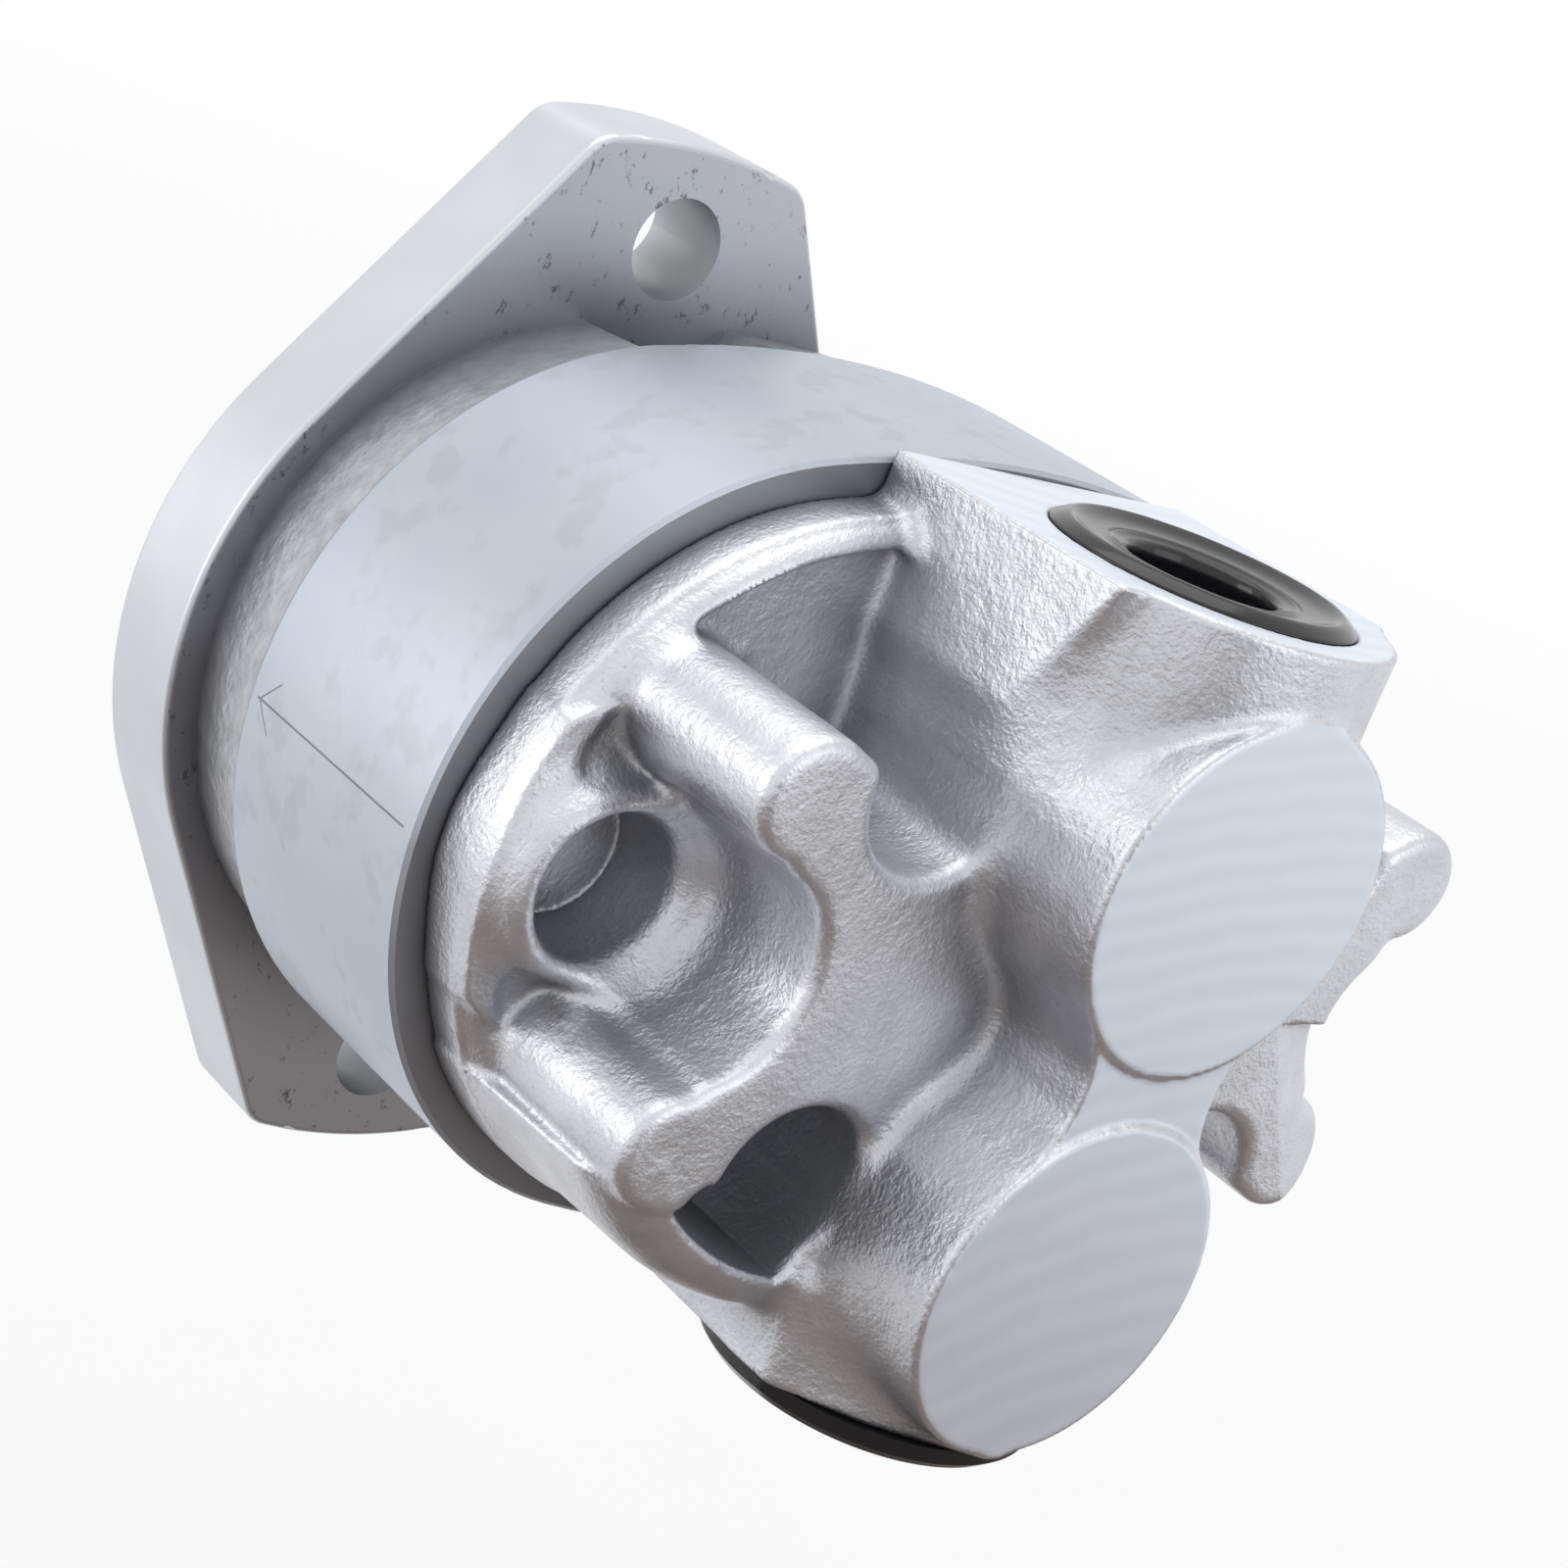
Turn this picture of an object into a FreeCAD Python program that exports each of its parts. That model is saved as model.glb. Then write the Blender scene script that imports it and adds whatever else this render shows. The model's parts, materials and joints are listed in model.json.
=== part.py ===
import FreeCAD, Part
import math
import os
import Sketcher

# External gear pump with a two-bolt flange and a cast rear cover.
# Frame: the pump axis is Y and the shaft points to +Y. The mounting face is y = 0.
# "Depth" below is the distance behind the mounting face, so depth = -y.
# Z runs along the line of the two flange bolts, and the origin is the pilot's centre.

doc = FreeCAD.newDocument("gear_pump")
sheet = doc.addObject("Spreadsheet::Sheet", "sizes")

TABLE = [
    # flange and pilot
    ("bolt_spacing", 106.4, "between the two flange bolt holes"),
    ("bolt_hole_radius", 6.2, "flange bolt hole"),
    ("bolt_end_wall", 12.2, "bolt hole axis to the flange end"),
    ("flange_thick", 13.5, "flange thickness"),
    ("flange_edge_round", 0.8, "edges of the flange"),
    ("pilot_radius", 41.275, "locating pilot"),
    ("pilot_height", 6.35, "locating pilot"),
    ("pilot_chamfer", 0.8, "front edge of the pilot"),
    ("pilot_shoulder", 6.0, "flange beside the pilot at the waist"),
    ("ear_half_width", 15.5, "from the bolt line to an ear corner"),
    ("ear_corner_round", 5.0, "rounding of the ear corners"),
    ("scallop_radius", 13.6, "bolt head clearance in the neck"),
    # body outline
    ("body_side_wall", 8.8, "screw holes to the round sides of the body"),
    ("body_crown_wall", 25.35, "gear chamber to the top and bottom of the body"),
    ("body_front_round", 1.0, "front edge of the turned body"),
    ("body_rear_chamfer", 0.5, "rear edge of the turned body"),
    ("neck_length", 14.0, "cast neck behind the flange"),
    ("neck_step", 3.0, "front of the neck lies this far under the turned body"),
    ("neck_draft", 7.0, "draft of the neck in degrees"),
    ("shoulder_step", 1.5, "front shoulder beside the flange, ahead of the flange's rear"),
    # gear chamber
    ("gear_module", 3.25, "tooth module"),
    ("gear_teeth", 12, "teeth on each gear"),
    ("gear_width", 15.5, "face width"),
    ("tooth_thinning", 0.12, "taken off each tooth flank"),
    ("pressure_angle", 25.0, "tooth pressure angle in degrees"),
    ("tip_clearance", 0.3, "gear tip to chamber wall"),
    ("block_clearance", 0.1, "bearing block to chamber wall"),
    ("side_clearance", 0.1, "gear side to bearing block"),
    ("block_length", 12.3, "bearing blocks"),
    ("chamber_depth", 22.0, "front end of the gear chamber"),
    ("journal_radius", 9.525, "shaft and journals"),
    ("running_clearance", 0.05, "journal to bush, shaft to seal lip"),
    ("bush_wall", 2.4, "plain bush"),
    ("bush_fit", 0.02, "bush to bearing block"),
    ("bore_clearance", 0.4, "shaft to the bore of the front wall"),
    # shaft end and key
    ("shaft_reach", 38.0, "shaft end in front of the mounting face"),
    ("shaft_chamfer", 1.2, "ends of the shafts"),
    ("driven_setback", 1.0, "driven journal to the front of its bush"),
    ("key_width", 4.76, "square key"),
    ("key_length", 20.0, "square key"),
    ("key_setback", 4.0, "key end to shaft end"),
    ("key_clearance", 0.02, "key to keyway"),
    # shaft seal
    ("seal_radius", 17.4, "outside of the shaft seal"),
    ("seal_fit", 0.1, "shaft seal to its pocket"),
    ("seal_height", 8.0, "shaft seal"),
    ("seal_pocket_depth", 4.0, "floor of the seal pocket behind the mounting face"),
    ("case_wall", 1.0, "steel case of the seal"),
    ("lip_thick", 3.0, "rubber round the shaft"),
    ("lip_relief", 1.2, "hollow side of the sealing lip"),
    ("lip_edge_setback", 2.5, "sealing edge to the back of the seal"),
    ("garter_radius", 0.7, "coil of the garter spring"),
    ("garter_clearance", 0.3, "garter spring to its seat"),
    ("snap_thick", 1.2, "snap ring"),
    ("snap_width", 3.6, "snap ring, radially"),
    ("snap_bite", 1.0, "snap ring in its groove"),
    ("snap_gap", 6.0, "open part of the snap ring"),
    ("snap_clearance", 0.1, "snap ring in its groove"),
    # pressure seals of the bearing blocks
    ("groove_wall", 1.3, "bush to strip groove"),
    ("strip_width", 2.0, "pressure seal strip"),
    ("strip_thick", 1.8, "pressure seal strip"),
    ("backup_width", 1.6, "backup strip"),
    ("strip_clearance", 0.1, "strips in their groove"),
    # seal ring between body and cover
    ("ring_wall", 1.15, "gear chamber to the groove of the seal ring"),
    ("ring_cord_radius", 1.0, "cord of the seal ring"),
    ("ring_groove_width", 2.4, "groove for the seal ring"),
    ("ring_groove_depth", 2.1, "groove for the seal ring"),
    # screws
    ("screw_wall", 0.75, "seal ring groove to the seats of the locating sleeves"),
    ("left_screw_angle", 36.35, "left screws round their gear axis, from the gear line, in degrees"),
    ("right_screw_angle", 32.9, "right screws round their gear axis, from the gear line, in degrees"),
    ("screw_radius", 4.0, "screw shank"),
    ("screw_engagement", 22.9, "longest reach of a screw into the cover"),
    ("screw_runout", 3.6, "threaded hole beyond the screw's tip"),
    ("screw_head_radius", 6.5, "screw head"),
    ("screw_head_height", 8.0, "screw head"),
    ("screw_socket_radius", 3.46, "hexagon socket across corners, half"),
    ("screw_socket_depth", 4.0, "hexagon socket"),
    ("screw_hole_clearance", 0.5, "screw in the body"),
    ("thread_clearance", 0.05, "screw in the cover"),
    ("counterbore_clearance", 0.7, "screw head in its counterbore"),
    ("counterbore_depth", 6.0, "counterbore floor behind the mounting face"),
    ("washer_thick", 1.6, "washer"),
    ("washer_overhang", 0.3, "washer beyond the screw head"),
    ("sleeve_bore_clearance", 0.6, "screw in a locating sleeve"),
    ("sleeve_wall", 0.9, "locating sleeve"),
    ("sleeve_length", 9.6, "locating sleeve"),
    ("sleeve_clearance", 0.05, "locating sleeve in its bores"),
    # rear cover
    ("cover_step", 4.3, "body end face beside the cover"),
    ("cover_floor", 5.5, "cover thickness at the pocket floors"),
    ("rim_height", 3.2, "rim over the pocket floors"),
    ("rim_wall", 3.0, "rim"),
    ("rim_round", 2.4, "outer edge of the rim"),
    ("column_wall", 2.75, "screw columns round the threads"),
    ("column_end", 5.4, "screw columns beyond the threads"),
    ("land_overhang", 4.5, "flat rear land above and below the screw axes"),
    ("right_land_step", 2.6, "right end of the rear land over the rest"),
    ("outer_wall", 6.5, "wall round the lower left pocket"),
    ("outer_wall_round", 4.0, "outer edge of that wall"),
    ("left_notch_offset", 3.5, "left notch outside the screw axes"),
    ("right_notch_offset", 6.7, "right notch outside the screw axes"),
    ("notch_wall", 0.3, "notch to the screw columns"),
    ("cup_clearance", 1.8, "ring round the deep recess, inside its notch"),
    ("cup_wall", 2.4, "ring round the deep recess"),
    ("cup_height", 8.0, "ring over the pocket floor"),
    ("cup_sink", 2.0, "deep recess under the pocket floor"),
    ("pocket_radius", 9.7, "round pockets"),
    ("pocket_wall", 0.5, "round pockets to the screw columns"),
    ("pocket_rise", 22.0, "round pockets over and under the axis"),
    ("ejector_radius", 5.5, "round mark in a pocket floor"),
    ("ejector_sink", 0.4, "round mark in a pocket floor"),
    # port blocks and bosses of the cover
    ("port_setback", 26.0, "port axes behind the joint"),
    ("port_face_step", 0.8, "port faces under the top and bottom of the body"),
    ("top_port_radius", 16.7, "top port"),
    ("bottom_port_radius", 16.7, "bottom port"),
    ("top_port_wall", 5.1, "top port to the round back of its block"),
    ("bottom_port_wall", 3.3, "bottom port to the round back of its block"),
    ("top_block_step", 1.0, "sides of the top block beyond its round back"),
    ("bottom_block_step", 0.9, "sides of the bottom block beyond its round back"),
    ("block_back", 8.5, "square part of the port blocks behind the port axes"),
    ("block_height", 14.6, "square part of the port blocks"),
    ("block_round", 4.5, "inner edges of the port blocks"),
    ("boss_radius", 20.2, "rear bosses"),
    ("boss_height", 16.0, "machined faces of the rear bosses over the rear land"),
    ("boss_collar", 4.5, "straight part of a rear boss"),
    ("boss_flare", 3.6, "root of a rear boss is wider by this"),
    ("top_boss_rise", 20.0, "upper rear boss over the axis"),
    ("bottom_boss_drop", 26.5, "lower rear boss under the axis"),
    ("port_bore_depth", 20.0, "straight bore of a port"),
    ("port_chamfer", 1.3, "mouth of a port"),
    ("passage_radius", 9.0, "oil passage under a port"),
    ("gallery_radius", 7.0, "oil passage to the gears"),
    ("gallery_rise", 15.0, "oil passage over and under the axis"),
    # plugs
    ("plug_clearance", 0.2, "plug in its port"),
    ("plug_recess", 1.6, "top plug under the port face"),
    ("plug_length", 13.0, "plugs in their ports"),
    ("plug_lip", 1.5, "outer lip of the top plug"),
    ("plug_dish", 1.1, "sunk ring of the top plug"),
    ("plug_collar", 2.2, "inner collar of the top plug, radially"),
    ("plug_hole_radius", 8.4, "hole in the top plug"),
    ("plug_floor", 2.0, "floor of the plugs"),
    ("cap_overhang", 3.3, "flange of the bottom cap beyond the port"),
    ("cap_thick", 2.8, "flange of the bottom cap"),
    ("cap_round", 1.0, "edge of the bottom cap"),
    ("cap_wall", 4.4, "stem of the bottom cap"),
]


class Size:
    """A number together with the sheet expression that gives it."""

    def __init__(self, value, text):
        self.value = value
        self.text = text

    def joined(self, sign, other, swap=False):
        other = as_size(other)
        first, second = (other, self) if swap else (self, other)
        results = {
            "+": lambda a, b: a + b,
            "-": lambda a, b: a - b,
            "*": lambda a, b: a * b,
            "/": lambda a, b: a / b,
        }
        value = results[sign](first.value, second.value)
        return Size(value, "(%s %s %s)" % (first.text, sign, second.text))

    def __add__(self, other):
        return self.joined("+", other)

    def __radd__(self, other):
        return self.joined("+", other, swap=True)

    def __sub__(self, other):
        return self.joined("-", other)

    def __rsub__(self, other):
        return self.joined("-", other, swap=True)

    def __mul__(self, other):
        return self.joined("*", other)

    def __rmul__(self, other):
        return self.joined("*", other, swap=True)

    def __truediv__(self, other):
        return self.joined("/", other)

    def __neg__(self):
        return Size(-self.value, "(0 - %s)" % self.text)

    def cosine(self):
        return Size(math.cos(math.radians(self.value)), "cos(%s * 1 deg)" % self.text)

    def sine(self):
        return Size(math.sin(math.radians(self.value)), "sin(%s * 1 deg)" % self.text)


def as_size(number):
    return number if isinstance(number, Size) else Size(float(number), repr(number))


NAMED = {}
for row, (alias, number, note) in enumerate(TABLE, start=1):
    sheet.set("A%d" % row, alias)
    sheet.set("B%d" % row, repr(number))
    sheet.set("C%d" % row, note)
    sheet.setAlias("B%d" % row, alias)
doc.recompute()
for alias, number, note in TABLE:
    NAMED[alias] = Size(float(sheet.get(alias)), "sizes." + alias)


def named(alias):
    return NAMED[alias]


# Gears and what stands round them
centres = named("gear_module") * named("gear_teeth")
middle = centres / 2
gear_radius = centres / 2
tip_radius = gear_radius + named("gear_module")
chamber_radius = tip_radius + named("tip_clearance")
block_radius = chamber_radius - named("block_clearance")
journal = named("journal_radius")
bush_inner = journal + named("running_clearance")
bush_radius = bush_inner + named("bush_wall")
block_length = named("block_length")
front_block_start = named("chamber_depth") + named("side_clearance")
gear_start = front_block_start + block_length + named("side_clearance")
rear_block_start = gear_start + named("gear_width") + named("side_clearance")
joint = rear_block_start + block_length + named("side_clearance")

# Seal ring, locating sleeves and screws lie outside one another round each gear axis
ring_path_radius = chamber_radius + named("ring_wall") + named("ring_groove_width") / 2
sleeve_inner = named("screw_radius") + named("sleeve_bore_clearance")
sleeve_radius = sleeve_inner + named("sleeve_wall")
sleeve_hole = sleeve_radius + named("sleeve_clearance")
ring_groove_edge = ring_path_radius + named("ring_groove_width") / 2
screw_circle = ring_groove_edge + named("screw_wall") + sleeve_hole
left_screws = -screw_circle * named("left_screw_angle").cosine()
right_screws = centres + screw_circle * named("right_screw_angle").cosine()
left_rise = screw_circle * named("left_screw_angle").sine()
right_rise = screw_circle * named("right_screw_angle").sine()
screw_hole = named("screw_radius") + named("screw_hole_clearance")

# Outlines of flange, body and cover
flange_rear = named("flange_thick")
waist_radius = named("pilot_radius") + named("pilot_shoulder")
flange_end_radius = named("bolt_spacing") / 2 + named("bolt_end_wall")
shoulder = flange_rear - named("shoulder_step")
body_front = flange_rear + named("neck_length")
body_radius = screw_circle + screw_hole + named("body_side_wall")
body_crown = chamber_radius + named("body_crown_wall")
pocket_floor = joint + named("cover_floor")
screw_seat = shoulder - named("washer_thick")
screw_length = joint + named("screw_engagement") - screw_seat
thread_end = joint + named("screw_engagement") + named("screw_runout")
land = thread_end + named("column_end")
right_land = land + named("right_land_step")
port_depth = joint + named("port_setback")
port_face = body_crown - named("port_face_step")


def origin_plane(body, role):
    for feature in body.Origin.OriginFeatures:
        if feature.Role == role:
            return feature
    raise ValueError(role)


def new_body(label):
    body = doc.addObject("PartDesign::Body", label)
    body.Label = label
    return body


def new_sketch(body, name, plane, offset=0):
    """A sketch at an offset along the plane's normal. The normal of XZ points to greater depth."""
    sketch = body.newObject("Sketcher::SketchObject", name)
    sketch.AttachmentSupport = [(origin_plane(body, plane), "")]
    sketch.MapMode = "FlatFace"
    sketch.setExpression("AttachmentOffset.Base.z", as_size(offset).text)
    return sketch


def dimension(sketch, kind, *args):
    """Adds a dimension whose last argument is a Size, and binds it to the sheet."""
    size = as_size(args[-1])
    index = sketch.addConstraint(Sketcher.Constraint(kind, *args[:-1], size.value))
    sketch.renameConstraint(index, "d%d" % index)
    sketch.setExpression("Constraints.d%d" % index, size.text)


def place_point(sketch, geometry, point, across, up):
    """Dimensions a point from the sketch's origin."""
    for kind, size in (("DistanceX", as_size(across)), ("DistanceY", as_size(up))):
        dimension(sketch, kind, -1, 1, geometry, point, size)


def draw_circle(sketch, across, up, radius):
    across, up, radius = as_size(across), as_size(up), as_size(radius)
    centre = FreeCAD.Vector(across.value, up.value, 0)
    index = sketch.addGeometry(Part.Circle(centre, FreeCAD.Vector(0, 0, 1), radius.value))
    place_point(sketch, index, 3, across, up)
    dimension(sketch, "Radius", index, radius)


def draw_polygon(sketch, points):
    """A closed outline whose corners are all dimensioned."""
    spots = [(as_size(a), as_size(b)) for a, b in points]
    corners = [FreeCAD.Vector(a.value, b.value, 0) for a, b in spots]
    first = None
    for number, corner in enumerate(corners):
        line = Part.LineSegment(corner, corners[(number + 1) % len(corners)])
        index = sketch.addGeometry(line)
        if first is None:
            first = index
        else:
            sketch.addConstraint(Sketcher.Constraint("Coincident", index - 1, 2, index, 1))
    sketch.addConstraint(Sketcher.Constraint("Coincident", index, 2, first, 1))
    for number, (across, up) in enumerate(spots):
        place_point(sketch, first + number, 1, across, up)


def draw_rectangle(sketch, left, right, bottom, top):
    draw_polygon(sketch, [(left, bottom), (right, bottom), (right, top), (left, top)])


def arc(centre_x, centre_y, radius, start, end):
    circle = Part.Circle(FreeCAD.Vector(centre_x, centre_y, 0), FreeCAD.Vector(0, 0, 1), radius)
    return Part.ArcOfCircle(circle, start, end)


def draw_oval(sketch, inset):
    """The body's outline, moved inwards: two round sides and two flat-arched faces."""
    radius = body_radius - inset
    crown = body_crown - inset
    rise = crown.value - radius.value
    half = middle.value
    drop = (half * half - rise * rise) / (2 * rise)
    arch = crown.value + drop
    right_turn = math.atan2(drop, half)
    left_turn = math.atan2(drop, -half)
    left = sketch.addGeometry(arc(0, 0, radius.value, left_turn, 2 * math.pi - left_turn))
    right = sketch.addGeometry(arc(2 * half, 0, radius.value, -right_turn, right_turn))
    top = sketch.addGeometry(arc(half, -drop, arch, right_turn, left_turn))
    bottom = sketch.addGeometry(arc(half, drop, arch, -left_turn, -right_turn))
    add = sketch.addConstraint
    add(Sketcher.Constraint("Coincident", left, 3, -1, 1))
    add(Sketcher.Constraint("PointOnObject", right, 3, -1))
    dimension(sketch, "DistanceX", -1, 1, right, 3, centres)
    dimension(sketch, "Radius", left, radius)
    add(Sketcher.Constraint("Equal", left, right))
    add(Sketcher.Constraint("Tangent", top, 1, right, 2))
    add(Sketcher.Constraint("Tangent", top, 2, left, 1))
    add(Sketcher.Constraint("Tangent", bottom, 1, left, 2))
    add(Sketcher.Constraint("Tangent", bottom, 2, right, 1))
    peak = sketch.addGeometry(Part.Point(FreeCAD.Vector(half, crown.value, 0)), True)
    add(Sketcher.Constraint("PointOnObject", peak, 1, top))
    place_point(sketch, peak, 1, middle, crown)
    add(Sketcher.Constraint("Equal", top, bottom))


def draw_stadium(sketch, radius):
    """A slot outline round the two gear axes."""
    value = radius.value
    span = centres.value
    left = sketch.addGeometry(arc(0, 0, value, math.pi / 2, 3 * math.pi / 2))
    right = sketch.addGeometry(arc(span, 0, value, -math.pi / 2, math.pi / 2))
    top = sketch.addGeometry(
        Part.LineSegment(FreeCAD.Vector(span, value, 0), FreeCAD.Vector(0, value, 0)))
    bottom = sketch.addGeometry(
        Part.LineSegment(FreeCAD.Vector(0, -value, 0), FreeCAD.Vector(span, -value, 0)))
    add = sketch.addConstraint
    add(Sketcher.Constraint("Coincident", left, 3, -1, 1))
    add(Sketcher.Constraint("PointOnObject", right, 3, -1))
    dimension(sketch, "DistanceX", -1, 1, right, 3, centres)
    dimension(sketch, "Radius", left, radius)
    add(Sketcher.Constraint("Tangent", top, 1, right, 2))
    add(Sketcher.Constraint("Tangent", top, 2, left, 1))
    add(Sketcher.Constraint("Tangent", bottom, 1, left, 2))
    add(Sketcher.Constraint("Tangent", bottom, 2, right, 1))


def draw_block(sketch, half, outer, inner):
    """A port block seen from behind, with its two inner edges rounded."""
    rounding = named("block_round")
    sign = 1 if outer.value > inner.value else -1
    turn = rounding.value
    left = (middle - half).value
    right = (middle + half).value
    edge = inner.value
    shift = edge + sign * turn

    def spot(across, up):
        return FreeCAD.Vector(across, up, 0)

    if sign > 0:
        left_arc = sketch.addGeometry(arc(left + turn, shift, turn, math.pi, 1.5 * math.pi))
        right_arc = sketch.addGeometry(arc(right - turn, shift, turn, 1.5 * math.pi, 2 * math.pi))
        left_ends, right_ends = (1, 2), (2, 1)
    else:
        left_arc = sketch.addGeometry(arc(left + turn, shift, turn, 0.5 * math.pi, math.pi))
        right_arc = sketch.addGeometry(arc(right - turn, shift, turn, 0, 0.5 * math.pi))
        left_ends, right_ends = (2, 1), (1, 2)
    left_side = sketch.addGeometry(Part.LineSegment(spot(left, outer.value), spot(left, shift)))
    bottom = sketch.addGeometry(Part.LineSegment(spot(left + turn, edge), spot(right - turn, edge)))
    right_side = sketch.addGeometry(Part.LineSegment(spot(right, shift), spot(right, outer.value)))
    top = sketch.addGeometry(Part.LineSegment(spot(right, outer.value), spot(left, outer.value)))
    add = sketch.addConstraint
    add(Sketcher.Constraint("Tangent", left_side, 2, left_arc, left_ends[0]))
    add(Sketcher.Constraint("Tangent", bottom, 1, left_arc, left_ends[1]))
    add(Sketcher.Constraint("Tangent", bottom, 2, right_arc, right_ends[1]))
    add(Sketcher.Constraint("Tangent", right_side, 1, right_arc, right_ends[0]))
    add(Sketcher.Constraint("Coincident", right_side, 2, top, 1))
    add(Sketcher.Constraint("Coincident", top, 2, left_side, 1))
    for line in (left_side, right_side):
        add(Sketcher.Constraint("Vertical", line))
    for line in (bottom, top):
        add(Sketcher.Constraint("Horizontal", line))
    dimension(sketch, "Radius", left_arc, rounding)
    add(Sketcher.Constraint("Equal", left_arc, right_arc))
    place_point(sketch, top, 2, middle - half, outer)
    dimension(sketch, "DistanceX", -1, 1, top, 1, middle + half)
    dimension(sketch, "DistanceY", -1, 1, bottom, 1, inner)


def draw_flange(sketch):
    """Round sides, slanted edges tangent to them, and turned ends."""
    waist = waist_radius
    end = flange_end_radius
    ear = named("ear_half_width")
    corner = math.acos(ear.value / end.value)
    foot = corner - math.acos(waist.value / end.value)
    add = sketch.addConstraint
    arcs = {}
    for name, radius, start, stop in (
            ("right", waist, -foot, foot),
            ("top", end, corner, math.pi - corner),
            ("left", waist, math.pi - foot, math.pi + foot),
            ("bottom", end, math.pi + corner, 2 * math.pi - corner)):
        arcs[name] = sketch.addGeometry(arc(0, 0, radius.value, start, stop))
        add(Sketcher.Constraint("Coincident", arcs[name], 3, -1, 1))
        dimension(sketch, "Radius", arcs[name], radius)

    def spot(radius, angle):
        return FreeCAD.Vector(radius.value * math.cos(angle), radius.value * math.sin(angle), 0)

    edges = (
        (arcs["right"], 2, foot, arcs["top"], 1, corner, ear),
        (arcs["left"], 1, math.pi - foot, arcs["top"], 2, math.pi - corner, -ear),
        (arcs["left"], 2, math.pi + foot, arcs["bottom"], 1, math.pi + corner, -ear),
        (arcs["right"], 1, -foot, arcs["bottom"], 2, -corner, ear),
    )
    for side, side_end, side_angle, tip, tip_end, tip_angle, across in edges:
        line = sketch.addGeometry(
            Part.LineSegment(spot(waist, side_angle), spot(end, tip_angle)))
        add(Sketcher.Constraint("Tangent", line, 1, side, side_end))
        add(Sketcher.Constraint("Coincident", line, 2, tip, tip_end))
        dimension(sketch, "DistanceX", -1, 1, line, 2, across)


def add_between(body, name, start, end, draw, plane="XZ_Plane", draft=None):
    """Pads an outline from one depth (or height) to a greater one."""
    sketch = new_sketch(body, name + "_outline", plane, start)
    draw(sketch)
    pad = body.newObject("PartDesign::Pad", name)
    pad.Profile = sketch
    pad.setExpression("Length", (as_size(end) - start).text)
    if draft is not None:
        pad.setExpression("TaperAngle", draft.text + " * 1 deg")
    doc.recompute()
    return pad


def cut_between(body, name, start, end, draw, plane="XZ_Plane"):
    """Cuts an outline from one depth (or height) to a greater one."""
    before = body.Shape.Volume
    sketch = new_sketch(body, name + "_outline", plane, start)
    draw(sketch)
    pocket = body.newObject("PartDesign::Pocket", name)
    pocket.Profile = sketch
    pocket.Reversed = True
    pocket.setExpression("Length", (as_size(end) - start).text)
    doc.recompute()
    if body.Shape.Volume > before - 1e-3:
        raise ValueError("%s cuts nothing" % name)
    return pocket


def revolve(body, name, points, plane="YZ_Plane", axis="H_Axis"):
    """Turns an outline of (depth, radius) about the pump axis, or (radius, height) about Z."""
    sketch = new_sketch(body, name + "_outline", plane)
    if plane == "YZ_Plane":
        points = [(-as_size(depth), radius) for depth, radius in points]
    draw_polygon(sketch, points)
    turned = body.newObject("PartDesign::Revolution", name)
    turned.Profile = sketch
    turned.ReferenceAxis = (sketch, [axis])
    turned.Angle = 360
    doc.recompute()
    return turned


def round_edges(body, name, radius, wanted, kind="PartDesign::Fillet"):
    """Rounds or chamfers the edges of the body that the test picks."""
    tip = body.Tip
    names = ["Edge%d" % (n + 1) for n, edge in enumerate(tip.Shape.Edges) if wanted(edge)]
    if not names:
        raise ValueError("%s finds no edge" % name)
    feature = body.newObject(kind, name)
    feature.Base = (tip, names)
    feature.setExpression("Radius" if kind.endswith("Fillet") else "Size", as_size(radius).text)
    doc.recompute()
    return feature


def lies_at_depth(edge, depth):
    box = edge.BoundBox
    return abs(box.YMax + depth.value) < 0.01 and abs(box.YMin + depth.value) < 0.01


def set_place(thing, across, depth, height):
    for axis, size in (("x", as_size(across)), ("y", -as_size(depth)), ("z", as_size(height))):
        thing.setExpression("Placement.Base." + axis, size.text)


def rod(label, radius, start, end, across=0, height=0):
    """A cylinder along the pump axis."""
    thing = doc.addObject("Part::Cylinder", label)
    turn = FreeCAD.Rotation(FreeCAD.Vector(1, 0, 0), 90)
    thing.Placement = FreeCAD.Placement(FreeCAD.Vector(0, 0, 0), turn)
    thing.setExpression("Radius", as_size(radius).text)
    thing.setExpression("Height", (as_size(end) - start).text)
    set_place(thing, across, start, height)
    return thing


def slab(label, left, right, start, end, bottom, top):
    """A box between two depths."""
    thing = doc.addObject("Part::Box", label)
    thing.setExpression("Length", (as_size(right) - left).text)
    thing.setExpression("Width", (as_size(end) - start).text)
    thing.setExpression("Height", (as_size(top) - bottom).text)
    set_place(thing, left, end, bottom)
    return thing


def cut(label, base, tool):
    thing = doc.addObject("Part::Cut", label)
    thing.Base = base
    thing.Tool = tool
    thing.Label = label
    return thing


def joined(label, shapes, kind="Part::MultiFuse"):
    thing = doc.addObject(kind, label)
    if kind == "Part::Compound":
        thing.Links = shapes
    else:
        thing.Shapes = shapes
    thing.Label = label
    return thing


def tube(label, outer, inner, start, end, across=0, height=0):
    outside = rod(label + "_outside", outer, start, end, across, height)
    inside = rod(label + "_inside", inner, start, end, across, height)
    return cut(label, outside, inside)


pieces = []

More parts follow.
